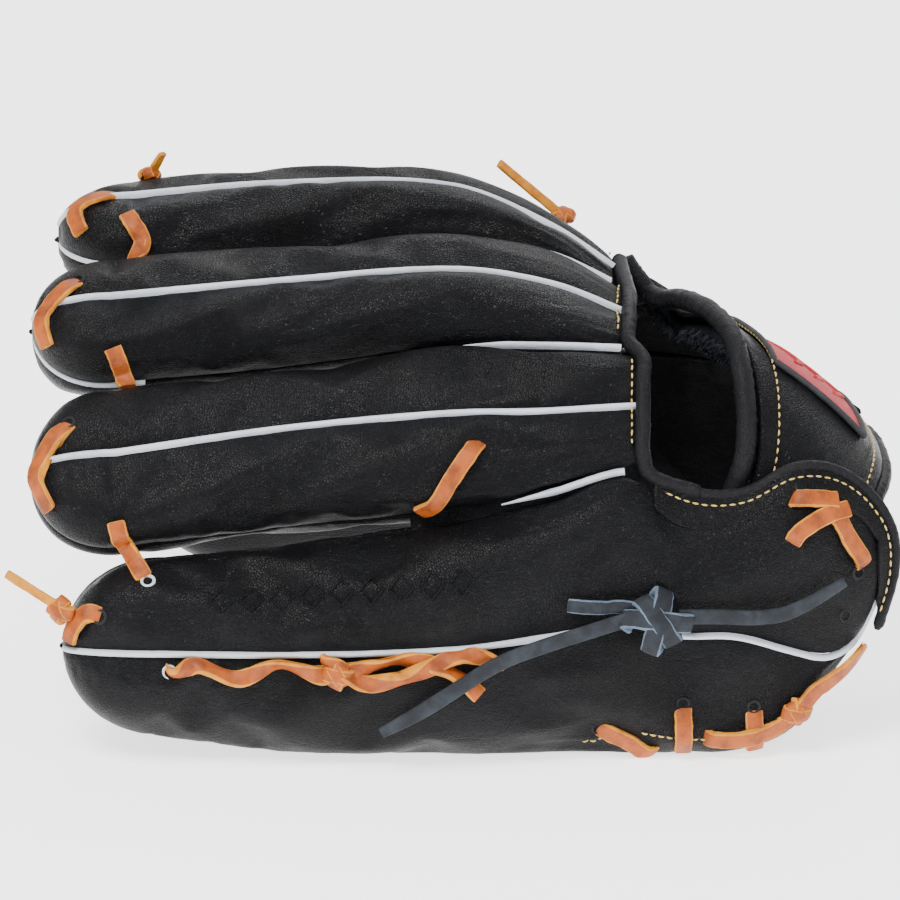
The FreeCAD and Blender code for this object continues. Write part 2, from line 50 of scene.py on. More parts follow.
# ------------------------------------------------------------------ sizes, in millimetres
MM = 0.001
ORIGIN = Vector((5.36, 91.66, 3.5))
FULLNESS = 2.4
LEATHER = 4.0
LACE_WIDTH = 6.35
LACE_THICK = 2.1
FOLD_LIMIT = 2.0
SEAM_STEPS = 1500
WELT_ROOT = 1.4

# Edges between the stalls, and each back's height over them, as in the part.
ARCH = {
    -125: [(-8, 12), (4, 71), (50, 116.5), (104, 143), (155, 147)],
    -60: [(-7, 2.5), (9, 78), (56, 121), (106, 144.5), (159, 149)],
    0: [(-8, 1.5), (5, 87), (52, 131), (100, 152), (147, 153)],
    35: [(-6, 1.5), (5, 95.5), (42, 135), (92, 150), (133, 147)],
    62: [(-5, 1.5), (5, 103.5), (40, 134.4), (86, 139), (126, 133)],
}
BULGE = {
    "pinky": [19, 24, 23, 19, 16],
    "ring": [18, 21, 17, 11, 6],
    "middle": [18, 20, 16, 11, 6],
    "index": [17, 20, 16, 9, 5],
}
REAR_GAP = 2.8
STALL_GAP = {-125: 5.0, -60: 4.0, 0: REAR_GAP, 35: REAR_GAP, 62: REAR_GAP}
FRONT_DEPTH = 14.0
TIP = {"pinky": -135.5, "ring": -147.0, "middle": -147.0, "index": -138.5, "thumb": -108.0}
TIP_LENGTH = {"pinky": 34.0, "ring": 30.0, "middle": 28.0, "index": 26.0, "thumb": 30.0}
BACK_END = {"pinky": 150.5, "ring": 66.0, "middle": 61.0, "index": 58.0, "thumb": 54.0}
PINKY_WALL = [
    (80, (-4, 1.5), (3, 91), 14, 2),
    (100, (-4, 2.5), (3, 90), 12, 1),
    (120, (-2, 10), (5, 98), 11, -13),
    (133, (0, 26), (7, 96.5), 9, -24),
    (144, (4, 42), (9, 88), 6, -22),
    (150.5, (7, 57), (9, 77), 3, -9),
]
THUMB_STALL = [
    (-78, (180, 69), (186, 3), 18, 0),
    (-40, (181, 75), (194, 2), 20, 0),
    (10, (180, 82), (196, 1.5), 19, 0),
    (52, (174, 88), (192, 1.5), 16, 0),
]
THUMB_HEEL = [
    (59, (172, 89), (190.5, 1.5), 15, 0),
    (70, (169, 90), (188, 1.5), 14, 0),
    (105, (158, 90), (176, 2.5), 12, 0),
    (119, (154, 88), (168, 9), 10, 0),
    (131, (148, 85), (160, 28), 8, 0),
    (146, (141, 78), (148, 46), 4, 0),
]
PALM = {
    5.5: [(1, 4), (12, 40), (24, 72), (46, 104), (82, 127), (122, 135), (150, 116), (164, 82), (170, 44),
          (182, 4)],
    35: [(0, 3), (10, 34), (22, 60), (44, 84), (80, 102), (118, 108), (146, 93), (160, 66), (168, 38),
         (180, 3)],
    65: [(0, 3), (10, 28), (24, 46), (46, 62), (80, 75), (112, 78), (140, 68), (156, 48), (165, 28),
         (177, 3)],
    95: [(1, 3), (12, 20), (27, 32), (48, 42), (78, 50), (104, 51), (128, 44), (145, 32), (156, 18),
         (168, 3)],
    116: [(7, 6), (18, 13), (33, 22), (52, 31), (78, 37), (98, 37), (119, 31), (136, 22), (147, 14),
          (159, 7)],
}
SADDLE = {
    5.5: [(151, 150), (166, 139), (178, 119), (184, 97)],
    35: [(138, 148), (154, 138), (170, 119), (180, 97)],
    58: [(132, 135), (147, 127), (163, 113), (175, 96)],
}
STRAP = [
    ((99, 14, 80), (141, 18, 60)),
    ((107, 20, 106), (146, 26, 82)),
    ((103, 45, 132), (150, 48, 88)),
    ((90, 86, 131), (147, 86, 86)),
    ((78, 119, 121), (141, 116, 80)),
    ((67, 127, 131), (132, 140, 68)),
]
FLAP_EDGE = [(71, 4, 102), (88, 4.5, 95.5), (104, 5.5, 96), (120, 9, 103.5), (134, 12, 102),
             (146, 13, 93.5), (154.5, 12, 80), (155.5, 9, 65), (149.5, 4, 45)]
WEB_HINGE = [(-100, 168, 143), (2, 156, 147)]
THUMB_ROOM_TOP = 97.0
STRAP_CROWN = 3.0
PATCH_SHARES = (0.40, 0.77, 0.14, 0.80)    # the patch's reach along the strap, then across it
# The wrist lace on the little-finger wall: its knot, and each free tail from the knot outward.
WRIST_KNOT = (72.5, -21.9, 57.8)
TAIL_WIDTH = 5.6
WRIST_TAILS = {
    "front": [(65.5, -21.4, 59.3), (50, -22.8, 54.7), (34, -25.8, 50.4), (17, -29.6, 45.4),
              (0, -32.4, 34.6), (-12, -31.3, 26.2), (-24, -29.2, 18.8)],
    "rear": [(80, -19.8, 58.5), (93, -17.9, 58.2), (108, -16.7, 56.8), (122, -15.6, 59.1),
             (138, -9.5, 68)],
}


# ------------------------------------------------------------------ shader maths
class Maths:
    """A socket that can be used in a sum."""

    def __init__(self, tree, socket):
        self.tree, self.socket = tree, socket

    def _math(self, operation, *values):
        return self.tree.node("ShaderNodeMath", {"operation": operation}, dict(enumerate(values)))

    def __add__(self, other):
        return self._math("ADD", self, other)

    def __radd__(self, other):
        return self._math("ADD", other, self)

    def __sub__(self, other):
        return self._math("SUBTRACT", self, other)

    def __rsub__(self, other):
        return self._math("SUBTRACT", other, self)

    def __mul__(self, other):
        return self._math("MULTIPLY", self, other)

    def __rmul__(self, other):
        return self._math("MULTIPLY", other, self)

    def __truediv__(self, other):
        return self._math("DIVIDE", self, other)

    def power(self, other):
        return self._math("POWER", self, other)

    def between(self, low, high):
        """0 below low, 1 above high, smooth between."""
        return self.tree.node("ShaderNodeMapRange", {"interpolation_type": "SMOOTHSTEP"},
                              {0: self, 1: low, 2: high, 3: 0.0, 4: 1.0})


class Finish:
    """A material, built a node at a time."""

    def __init__(self, name, **constants):
        self.material = bpy.data.materials.new(name)
        self.material.use_nodes = True
        self.tree = self.material.node_tree
        self.tree.nodes.clear()
        output = self.tree.nodes.new("ShaderNodeOutputMaterial")
        self.shader = self.tree.nodes.new("ShaderNodeBsdfPrincipled")
        self.tree.links.new(self.shader.outputs[0], output.inputs[0])
        for socket, value in constants.items():
            self.shader.inputs[socket.replace("_", " ")].default_value = value
        self.place = self.node("ShaderNodeTexCoord", output="Object")

    def node(self, kind, settings=None, sockets=None, output=0):
        made = self.tree.nodes.new(kind)
        for setting, value in (settings or {}).items():
            if setting == "stops":
                ramp = made.color_ramp
                while len(ramp.elements) < len(value):
                    ramp.elements.new(0.5)
                for element, (where, colour) in zip(ramp.elements, value):
                    element.position, element.color = where, (*colour, 1)
            else:
                setattr(made, setting, value)
        for socket, value in (sockets or {}).items():
            if isinstance(value, Maths):
                self.tree.links.new(value.socket, made.inputs[socket])
            else:
                made.inputs[socket].default_value = value
        return Maths(self, made.outputs[output])

    def noise(self, per_metre, detail=3.0, roughness=0.55, at=None):
        return self.node("ShaderNodeTexNoise", {}, {"Vector": at or self.place, "Scale": per_metre,
                                                    "Detail": detail, "Roughness": roughness})

    def stretched(self, *factors):
        """Object coordinates squeezed per axis."""
        return self.node("ShaderNodeMapping", {}, {"Vector": self.place, "Scale": factors})

    def cells(self, per_metre, feature="DISTANCE_TO_EDGE", at=None):
        return self.node("ShaderNodeTexVoronoi", {"feature": feature},
                         {"Vector": at or self.place, "Scale": per_metre})

    def ramp(self, factor, *stops):
        return self.node("ShaderNodeValToRGB", {"stops": stops}, {0: factor})

    def mix(self, factor, a, b):
        return self.node("ShaderNodeMix", {"data_type": "RGBA"}, {0: factor, 6: a, 7: b}, output=2)

    def set(self, **links):
        for socket, value in links.items():
            name = socket.replace("_", " ")
            if isinstance(value, Maths):
                self.tree.links.new(value.socket, self.shader.inputs[name])
            else:
                self.shader.inputs[name].default_value = value

    def bump(self, height, depth_mm, strength=1.0):
        normal = self.node("ShaderNodeBump", {}, {"Height": height, "Strength": strength,
                                                  "Distance": depth_mm * MM})
        self.set(Normal=normal)


def black_leather(name, base=(0.0028, 0.0029, 0.0038), gloss=0.34, grain=0.2):
    """Tanned steerhide: pebbled grain, pinched creases, dull where it has been handled."""
    leather = Finish(name, Specular_IOR_Level=0.15)
    broad = leather.noise(28, 4)
    handled = leather.noise(75, 5, 0.65)
    pebble = leather.cells(1150)
    pores = leather.noise(2600, 2)
    along = leather.noise(42, 6, 0.62, leather.stretched(0.35, 1.0, 1.0))
    crease = 1 - (along - 0.5)._math("ABSOLUTE", along - 0.5).between(0.0, 0.035)
    lint = leather.cells(210, "F1").between(0.06, 0.02) * leather.noise(60, 2).between(0.56, 0.6)
    tone = leather.ramp(broad, (0.3, tuple(c * 0.72 for c in base)), (0.7, tuple(c * 1.5 for c in base)))
    tone = leather.mix(handled.between(0.5, 0.75) * 0.35, tone, (0.012, 0.012, 0.014, 1))
    tone = leather.mix(lint * 0.35, tone, (0.11, 0.11, 0.12, 1))
    leather.set(Base_Color=tone, Roughness=gloss + 0.16 * handled - 0.1 * broad)
    pinched = leather.noise(190, 4, 0.6, leather.stretched(0.5, 1.0, 1.0)).between(0.35, 0.7)
    height = pebble.between(0.0, 0.22) * grain + pores * 0.07 + handled * 0.12
    height = height + pinched * 0.22 * broad.between(0.42, 0.6) - crease * 0.16 * broad.between(0.4, 0.6)
    leather.bump(height, 1.1)
    return leather.material


def pale_welt():
    welt = Finish("pale welt leather")
    fibres = welt.noise(900, 5, 0.7)
    soiled = welt.noise(70, 4)
    clean, handled = (0.62, 0.66, 0.72, 1), (0.38, 0.42, 0.48, 1)
    tone = welt.mix(soiled.between(0.45, 0.75) * 0.55, clean, handled)
    welt.set(Base_Color=tone, Roughness=0.72 + 0.15 * fibres)
    welt.bump(fibres, 0.35)
    return welt.material


def rawhide(name, face, dark, rough):
    lace = Finish(name, Specular_IOR_Level=0.3)
    pull = lace.noise(140, 5, 0.6)
    pores = lace.noise(1900, 3)
    lace.set(Base_Color=lace.mix(pull.between(0.35, 0.7), face, dark), Roughness=rough + 0.18 * pores)
    lace.bump(pull * 0.5 + pores * 0.35, 0.5)
    return lace.material


def thread():
    gold = Finish("gold thread")
    twist = gold.noise(2400, 3)
    tone = gold.ramp(twist, (0.3, (0.42, 0.29, 0.07)), (0.7, (0.78, 0.6, 0.2)))
    gold.set(Base_Color=tone, Roughness=0.5 + 0.2 * twist)
    gold.bump(twist, 0.2)
    return gold.material


def cloth_finish(name, dark, light, per_metre, rough, depth):
    cloth = Finish(name)
    tufts = cloth.noise(per_metre, 5, 0.7)
    clumps = cloth.noise(per_metre * 0.12, 3)
    tone = cloth.ramp(tufts * 0.6 + clumps * 0.4, (0.35, dark), (0.65, light))
    cloth.set(Base_Color=tone, Roughness=rough)
    cloth.bump(tufts + clumps, depth)
    return cloth.material


BLACK = black_leather("black steerhide")
LINING = black_leather("lining hide", (0.006, 0.006, 0.007), 0.6, 0.1)
BINDING = black_leather("rolled binding hide", (0.007, 0.007, 0.0085), 0.42, 0.12)
WELT = pale_welt()
TAN = rawhide("tan rawhide", (0.43, 0.092, 0.010, 1), (0.20, 0.040, 0.006, 1), 0.38)
TAN_EDGE = rawhide("tan suede edge", (0.66, 0.27, 0.022, 1), (0.42, 0.13, 0.014, 1), 0.75)
DARK_LACE = rawhide("dark rawhide", (0.007, 0.009, 0.013, 1), (0.022, 0.028, 0.037, 1), 0.6)
DARK_EDGE = rawhide("dark suede edge", (0.07, 0.10, 0.14, 1), (0.15, 0.19, 0.25, 1), 0.85)
GOLD = thread()
FLEECE = cloth_finish("dark fleece", (0.004, 0.005, 0.009), (0.03, 0.036, 0.055), 700, 0.95, 1.2)
FELT = cloth_finish("wool felt", (0.42, 0.4, 0.36), (0.6, 0.58, 0.53), 900, 0.95, 0.4)
PATCH = cloth_finish("red embroidery", (0.34, 0.004, 0.008), (0.62, 0.014, 0.024), 1500, 0.65, 0.5)
PATCH_BORDER = cloth_finish("black embroidery", (0.008, 0.008, 0.01), (0.035, 0.035, 0.04), 1500, 0.7, 0.5)
HOLE = cloth_finish("punched hole", (0.002, 0.002, 0.002), (0.01, 0.01, 0.01), 900, 0.9, 0.2)


# ------------------------------------------------------------------ stalls
def lerp(a, b, t):
    return a + (b - a) * t


def smooth_table(rows, x):
    """Values of a station table at x, on smooth curves; rows are (x, numbers)."""
    at = 0
    while at < len(rows) - 2 and rows[at + 1][0] <= x:
        at += 1
    (x0, low), (x1, high) = rows[at], rows[at + 1]
    before, after = rows[max(at - 1, 0)], rows[min(at + 2, len(rows) - 1)]
    t = (x - x0) / (x1 - x0)
    out = []
    for i, (p, q) in enumerate(zip(low, high)):
        if not 0 <= t <= 1:
            out.append(lerp(p, q, t))
            continue
        start = (q - before[1][i]) * (x1 - x0) / (x1 - before[0])
        end = (after[1][i] - p) * (x1 - x0) / (after[0] - x0)
        out.append(p * (1 - 3 * t * t + 2 * t ** 3) + q * (3 * t * t - 2 * t ** 3)
                   + start * (t - 2 * t * t + t ** 3) + end * (t ** 3 - t * t))
    return out


class Stall:
    """One finger or thumb: its rounded back, and its palm face on the other side."""

    def __init__(self, name, rows, tip=None, tip_length=30.0):
        self.name, self.tip, self.tip_length = name, tip, tip_length
        self.skins = []
        self.rows = [(x, [*foot, *top, bulge, gap, shift]) for x, foot, top, bulge, gap, shift in rows]

    def section(self, x):
        scale, low = 1.0, 1.0
        if self.tip is not None and x < self.tip + self.tip_length:
            step = min((self.tip + self.tip_length - x) / self.tip_length, 1.0)
            scale = math.sqrt(max(1 - step ** 2.2, 0.0))
            low = 0.25 + 0.75 * scale
        fy, fz, ty, tz, bulge, gap, shift = smooth_table(
            self.rows, x if scale == 1.0 else lerp(self.tip + self.tip_length, x, 0.25))
        centre = Vector((x, (fy + ty) / 2, (fz + tz) / 2))
        along = Vector((0, ty - fy, tz - fz))
        half = along.length / 2 - gap / 2
        along.normalize()
        return centre, half * scale, along, Vector((0, -along.z, along.y)), bulge * low, shift * scale

    def point(self, x, angle, inset=0.0, side=1.0, depth=None, floor=0.0):
        """A point round the section; angle 0 is the foot edge and pi the top edge."""
        centre, half, along, out, bulge, shift = self.section(x)
        half = max(half - inset, 0.6)
        high = bulge if depth is None else depth * min(1.0, bulge / 15)
        high = max(high - inset, 0.5)
        u = math.copysign(abs(math.cos(angle)) ** (2 / FULLNESS), -math.cos(angle))
        w = abs(math.sin(angle)) ** (2 / FULLNESS)
        return centre + along * (half * u) + out * (side * high * w + side * floor)

    def angle_of(self, u):
        u = max(-0.999, min(0.999, u))
        return math.acos(-math.copysign(abs(u) ** (FULLNESS / 2), u))

    def ridge(self, x):
        """The angle of the welt at x."""
        centre, half, along, out, bulge, shift = self.section(x)
        return self.angle_of(shift / max(half, 1.0))

    def normal(self, x, angle, side=1.0):
        across = self.point(x, angle + 0.02, side=side) - self.point(x, angle - 0.02, side=side)
        along = self.point(x + 0.5, angle, side=side) - self.point(x - 0.5, angle, side=side)
        normal = along.cross(across).normalized()
        outward = self.section(x)[3] * side
        return normal if normal.dot(outward) > 0 or angle < 0.5 or angle > 2.6 else -normal

    def on(self, x, u, lift=0.0):
        """A place on the back: u from -1 at the foot edge to 1 at the top edge, and its normal."""
        angle = self.angle_of(u)
        centre = self.section(x)[0]
        place = self.point(x, angle)
        normal = self.normal(x, angle)
        if normal.dot(place - centre) < 0:
            normal = -normal
        for skin in self.skins:
            found = skin.ray_cast(to_row(place + normal * 9), -normal, 14 * MM)[0]
            if found:
                place = found / MM + ORIGIN
                break
        return place + normal * lift, normal


def with_gap(rows):
    """Adds the gap between the stalls near the palm to rows of (x, foot, top, bulge, welt shift)."""
    return [(x, foot, top, bulge, REAR_GAP, shift) for x, foot, top, bulge, shift in rows]


def finger(name):
    order = ["pinky", "ring", "middle", "index"].index(name)
    rows = [(x, ARCH[x][order], ARCH[x][order + 1], BULGE[name][i], STALL_GAP[x], 0)
            for i, x in enumerate(sorted(ARCH))]
    if name == "pinky":
        rows += with_gap(PINKY_WALL)
    return Stall(name, rows, TIP[name], TIP_LENGTH[name])


STALLS = {name: finger(name) for name in ("pinky", "ring", "middle", "index")}
STALLS["thumb"] = Stall("thumb", with_gap(THUMB_STALL), TIP["thumb"], TIP_LENGTH["thumb"])
HEEL = Stall("thumb_heel", with_gap(THUMB_HEEL))


# ------------------------------------------------------------------ mesh tools
def to_row(point):
    return (Vector(point) - ORIGIN) * MM


def finish_mesh(name, mesh, material, body, slot, replaces=(), smooth=True):
    """Makes the object in the row frame, with its finishes, and hangs it from its body's empty.
    body is one body's name, or a tuple (body, other body, start, end) whose values are not used: such a piece
    is left in the row frame with no body."""
    bmesh.ops.recalc_face_normals(mesh, faces=mesh.faces)
    data = bpy.data.meshes.new(name)
    mesh.to_mesh(data)
    mesh.free()
    data.polygons.foreach_set("use_smooth", [smooth] * len(data.polygons))
    piece = bpy.data.objects.new(name, data)
    bpy.context.scene.collection.objects.link(piece)
    for finish in material if isinstance(material, (list, tuple)) else [material]:
        data.materials.append(finish)
    if isinstance(body, tuple):
        to_row(body[2])
        to_row(body[3])
        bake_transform(piece)
    elif body:
        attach(piece, body)
    if replaces:
        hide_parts(*replaces)
    return piece


def grid(columns, rows, place):
    """A sheet: create_grid, with each corner put where place(i, j) says, in millimetres."""
    mesh = bmesh.new()
    bmesh.ops.create_grid(mesh, x_segments=columns, y_segments=rows, size=1.0)
    mesh.verts.ensure_lookup_table()
    for vert in mesh.verts:
        i = round((vert.co.x + 1) / 2 * columns)
        j = round((vert.co.y + 1) / 2 * rows)
        vert.co = to_row(place(i, j))
    bmesh.ops.remove_doubles(mesh, verts=mesh.verts, dist=0.02 * MM)
    return mesh


def modifier(piece, kind, **settings):
    made = piece.modifiers.new(kind.title(), kind)
    for key, value in settings.items():
        setattr(made, key, value)
    return made


def station(stall, count, start, end, i, ease=2.2):
    """Stations packed closer together toward the tip."""
    t = i / count
    return lerp(start, end, t ** ease if stall.tip is not None else t)


def panel(name, stall, low, high, start, end, side=1.0, depth=None, edge_low=1.2, edge_high=1.2,
          columns=72, rows=20, puff=0.8, **say):
    """A leather panel between two seams, rolled under along both and a little full between them."""
    seed = hash_of(stall.name)

    def place(i, j):
        x = station(stall, columns, start, end, i)
        a, b = low(x), high(x)
        angle = lerp(a, b, j / rows)
        spot = stall.point(x, angle, side=side, depth=depth)
        centre, half, along, out, bulge, shift = stall.section(x)
        width = max((stall.point(x, b) - stall.point(x, a)).length, 1.0)
        from_low, from_high = j / rows * width, (1 - j / rows) * width
        sink = edge_low * math.exp(-(from_low / 1.7) ** 2) + edge_high * math.exp(-(from_high / 1.7) ** 2)
        full = puff * max(math.sin(math.pi * j / rows), 0.0) ** 0.7 * min(1.0, width / 30)
        away = (spot - centre - along * ((spot - centre).dot(along) * 0.6)).normalized()
        wave = noise.noise(Vector((x * 0.035, angle * 1.7, seed))) * 0.8
        wave += noise.noise(Vector((x * 0.011, angle * 0.9, 3 + seed))) * 1.4
        gathered = max(0.0, 1 - abs(x - 48) / 36)
        wave += noise.noise(Vector((x * 0.022, angle * 8.0, 7 + seed))) * 1.3 * gathered
        fade = min(1.0, (x - start) / 12 + 0.05)
        seams = min(1.0, from_low / 6) * min(1.0, from_high / 6)
        return spot + away * ((full + wave * seams) * fade - sink)

    piece = finish_mesh(name, grid(columns, rows, place), **say)
    settle(piece)
    if side > 0:
        stall.skins.append(BVHTree.FromPolygons([vertex.co for vertex in piece.data.vertices],
                                                [polygon.vertices for polygon in piece.data.polygons]))
    modifier(piece, "SOLIDIFY", thickness=1.8 * MM, offset=-1.0)
    modifier(piece, "SUBSURF", levels=1, render_levels=1)
    return piece


def settle(piece, frames=14, pressure=3.0, slack=-0.010):
    """Leather cut a little large, held at its seams and puffed from inside, so that it takes soft folds."""
    scene = bpy.context.scene
    count = {}
    for polygon in piece.data.polygons:
        for key in polygon.edge_keys:
            count[key] = count.get(key, 0) + 1
    held = {vertex for key, uses in count.items() if uses == 1 for vertex in key}
    seam = piece.vertex_groups.new(name="seam")
    seam.add(sorted(held), 1.0, "REPLACE")
    rest = [vertex.co.copy() for vertex in piece.data.vertices]
    cloth = piece.modifiers.new("Settle", "CLOTH")
    cloth.settings.vertex_group_mass = "seam"
    cloth.settings.use_pressure = True
    cloth.settings.uniform_pressure_force = pressure
    cloth.settings.shrink_min = slack
    cloth.settings.mass = 0.4
    cloth.settings.bending_stiffness = 6.0
    cloth.settings.effector_weights.gravity = 0.0
    cloth.point_cache.frame_start = 1
    cloth.point_cache.frame_end = frames
    for number in range(1, frames + 1):
        scene.frame_set(number)
    posed = piece.evaluated_get(bpy.context.evaluated_depsgraph_get())
    settled = [vertex.co.copy() for vertex in posed.data.vertices]
    piece.modifiers.remove(cloth)
    scene.frame_set(1)
    for vertex, before, after in zip(piece.data.vertices, rest, settled):
        move = after - before
        if move.length > FOLD_LIMIT * MM:
            move = move.normalized() * (FOLD_LIMIT * MM)
        vertex.co = before + move
    piece.data.update()


def hash_of(name):
    return sum(ord(c) * (i + 1) for i, c in enumerate(name)) % 97


def build_stall_backs(name, low_name, high_name, body):
    stall = STALLS[name]
    start, end = TIP[name] + 0.02, BACK_END[name]
    columns = 110 if name == "pinky" else 80
    common = dict(columns=columns, body=body, slot="black_leather", material=BLACK)
    panel(low_name + "_skin", stall, lambda x: 0.0, stall.ridge, start, end, replaces=[low_name], **common)
    panel(high_name + "_skin", stall, stall.ridge, lambda x: math.pi, start, end, replaces=[high_name],
          **common)
    welt_along(name + "_welt_strip", lambda x: stall.point(x, stall.ridge(x)),
               lambda x: stall.normal(x, stall.ridge(x)), start, end, 130, body, [name + "_welt"])


def welt_along(name, at, out, start, end, count, body, replaces=(), width=2.5, proud=0.9, taper=0.0):
    """A folded strip of pale leather standing out of a seam."""
    def place(i, j):
        x = lerp(start, end, (i / count) ** 1.6)
        spot, normal = at(x), out(x)
        ahead = (at(x + 0.4) - at(x - 0.4)).normalized()
        side = ahead.cross(normal).normalized()
        angle = math.pi * (j / 6 - 0.5)
        ragged = 1 + 0.10 * noise.noise(Vector((x * 0.6, hash_of(name), j)))
        ragged *= min(1.0, 0.2 + (x - start) / max(taper, 0.01))
        across = math.sin(angle) * width / 2 * ragged
        rise = math.cos(angle) * (proud + WELT_ROOT) * ragged - WELT_ROOT
        return spot + side * across + normal * rise

    piece = finish_mesh(name, grid(count, 6, place), WELT, body, "white_welt", replaces)
    modifier(piece, "SUBSURF", levels=1, render_levels=1)
    return piece


def build_stall_front(name, body, end):
    stall = STALLS[name]
    start = TIP[name] + 0.02
    panel(name + "_palm_face_skin", stall, lambda x: 0.0, lambda x: math.pi, start, end, side=-1.0,
          depth=FRONT_DEPTH, columns=70, rows=26, puff=0.5, body=body, slot="black_leather", material=BLACK,
          replaces=[name + "_palm_face"])
    half_body(name + "_felt_pad", stall, 3.4, -1.0, FRONT_DEPTH, start + 5, end - 0.5, FELT, body, "felt",
              [name + "_felt"])
    half_body(name + "_lining_sock", stall, LEATHER + 0.6, 1.0, None, start + 5, 30.0, LINING, body,
              "lining_leather", [name + "_lining"])


def half_body(name, stall, inset, side, depth, start, end, material, body, slot, replaces):
    """The rounded half under or over the chord, as one closed soft body."""
    def place(i, j):
        x = station(stall, 40, start, end, i)
        if j <= 16:
            return stall.point(x, math.pi * j / 16, inset, side, depth, 0.4)
        top = stall.point(x, math.pi, inset, side, depth, 0.4)
        foot = stall.point(x, 0.0, inset, side, depth, 0.4)
        return lerp(top, foot, (j - 16) / 8)

    return finish_mesh(name, grid(40, 24, place), material, body, slot, replaces)


# ------------------------------------------------------------------ sheets over the palm, saddle and strap
def outline_at(points, t):
    """A point at share t of a smooth curve through the points."""
    return Vector(smooth_table([(i, point) for i, point in enumerate(points)], t * (len(points) - 1)))


def on_table(table, x, t, depth=0.0):
    """A place on a station table's sheet, moved in by depth square to its outline."""
    flat = smooth_table([(key, [n for point in table[key] for n in point]) for key in sorted(table)], x)
    points = list(zip(flat[0::2], flat[1::2]))
    here = outline_at(points, t)
    ahead = (outline_at(points, min(t + 0.01, 1.0)) - outline_at(points, max(t - 0.01, 0.0))).normalized()
    return Vector((x, here.x + ahead.y * depth, here.y - ahead.x * depth))


def wavy(spot, size):
    """The slow waves of handled leather."""
    return size * (noise.noise(spot * 0.03) * 1.2 + noise.noise(spot * 0.085) * 0.5)


def sheet(name, place, columns, rows, thickness, replaces=(), full=1.0, material=None, body="hand",
          slot="black_leather"):
    """A sheet of leather or cloth with its own thickness; place(u, v) gives its middle."""
    def shaped(i, j):
        u, v = i / columns, j / rows
        across = place(min(u + 0.01, 1), v) - place(max(u - 0.01, 0), v)
        up = place(u, min(v + 0.01, 1)) - place(u, max(v - 0.01, 0))
        inside = min(1.0, 6 * min(u, 1 - u, v, 1 - v))
        return place(u, v) + across.cross(up).normalized() * wavy(place(u, v), full) * inside

    piece = finish_mesh(name, grid(columns, rows, shaped), material or BLACK, body, slot, replaces)
    modifier(piece, "SOLIDIFY", thickness=thickness * MM, offset=0.0)
    modifier(piece, "SUBSURF", levels=1, render_levels=1)
    return piece


def thumb_break(x):
    """How far round the palm its front part goes before the thumb's gusset begins."""
    t = 1.0
    while t > 0.5 and on_table(PALM, x, t).z < THUMB_ROOM_TOP:
        t -= 0.004
    return t


def build_palm():
    breaks = [thumb_break(x) for x in range(0, 61)]

    def edge(x):
        return breaks[max(0, min(60, round(x)))]

    def front(u, v):
        x = lerp(3.5, 57.0, u)
        return on_table(PALM, x, v * edge(x), 1.5)

    def gusset(u, v):
        x = lerp(1.0, 58.0, u)
        return on_table(PALM, x, lerp(edge(x) - 0.02, 1.0, v), 1.0)

    sheet("palm_front_skin", front, 34, 56, 3.0, ["palm_leather"])
    sheet("palm_heel_skin", lambda u, v: on_table(PALM, lerp(56.8, 117.0, u), v, 1.5), 36, 60, 3.0)
    sheet("thumb_gusset_skin", gusset, 28, 26, 2.4, body=("hand", "thumb", (30, 140, 70), (30, 171, 60)))
    pad = sheet("palm_felt_pad", lambda u, v: on_table(PALM, lerp(7, 107, u), lerp(0.17, 0.66, v), 6.4),
                26, 30, 5.4, ["palm_felt"], 0.4, FELT, slot="felt")
    rim = [on_table(PALM, 117.0, 0.03 + 0.94 * i / 18, 1.5) for i in range(19)]
    roll("palm_heel_roll", rim, 2.5, wrinkle=0.12)
    sheet("palm_lining_skin", lambda u, v: on_table(PALM, lerp(7, 114, u), lerp(0.14, 0.74, v), 10.6),
          30, 40, 1.2, ["palm_lining"], 0.8, LINING, slot="lining_leather")


def build_saddle():
    """The leather between the index finger and the thumb, and its soft underside."""
    thumb = STALLS["thumb"]

    def gusset(u, v):
        return lerp(on_table(SADDLE, lerp(0, 56, u), 1.0, 2.2), thumb.point(lerp(0, 53.0, u), 0.3), v)

    sheet("thumb_saddle_skin", lambda u, v: on_table(SADDLE, lerp(0, 72, u), v, 2.0), 30, 26, 2.6,
          ["thumb_saddle"])
    sheet("saddle_gusset_skin", gusset, 24, 8, 2.0, body=("hand", "thumb", (30, 178, 97), (30, 178, 88)))
    roll("saddle_front_roll", [on_table(SADDLE, 0.0, i / 10, 1.4) for i in range(11)], 2.2, wrinkle=0.1)
    outward = Vector((0, 0.86, 0.5))
    for name, x in (("front", 5.0), ("rear", 66.0)):
        def seam(t, x=x):
            return on_table(SADDLE, x, t, 0.4), outward

        stitches(f"saddle_{name}_stitches", seam, 0.05, 0.95, 3.3)


def build_heel_wall():
    """The thumb's wall past the break, down to the wrist."""
    panel("thumb_heel_wall_skin", HEEL, lambda x: 0.0, lambda x: math.pi, 59.3, 146.0, columns=60, rows=24,
          body="hand", slot="black_leather", material=BLACK, replaces=["thumb_heel_wall"])
    thumb = STALLS["thumb"]
    sheet("thumb_break_gusset",
          lambda u, v: lerp(thumb.point(50.0, math.pi * v, 1.6), HEEL.point(63.0, math.pi * v, 1.6), u),
          12, 24, 1.6, full=0.0, body=("thumb", "hand", (52, 182, 45), (61, 182, 45)))


# ------------------------------------------------------------------ strap and its fleece
def strap_rows():
    rows = [(Vector(a), Vector(b)) for a, b in STRAP]
    out = []
    for i, (a, b) in enumerate(rows):
        before, after = rows[max(i - 1, 0)], rows[min(i + 1, len(rows) - 1)]
        run = (after[0] + after[1] - before[0] - before[1]) * 0.5
        normal = run.cross(b - a).normalized()
        out.append((i, [*a, *b, *(normal if normal.x > 0 or normal.z > 0 else -normal)]))
    return out


STRAP_ROWS = strap_rows()


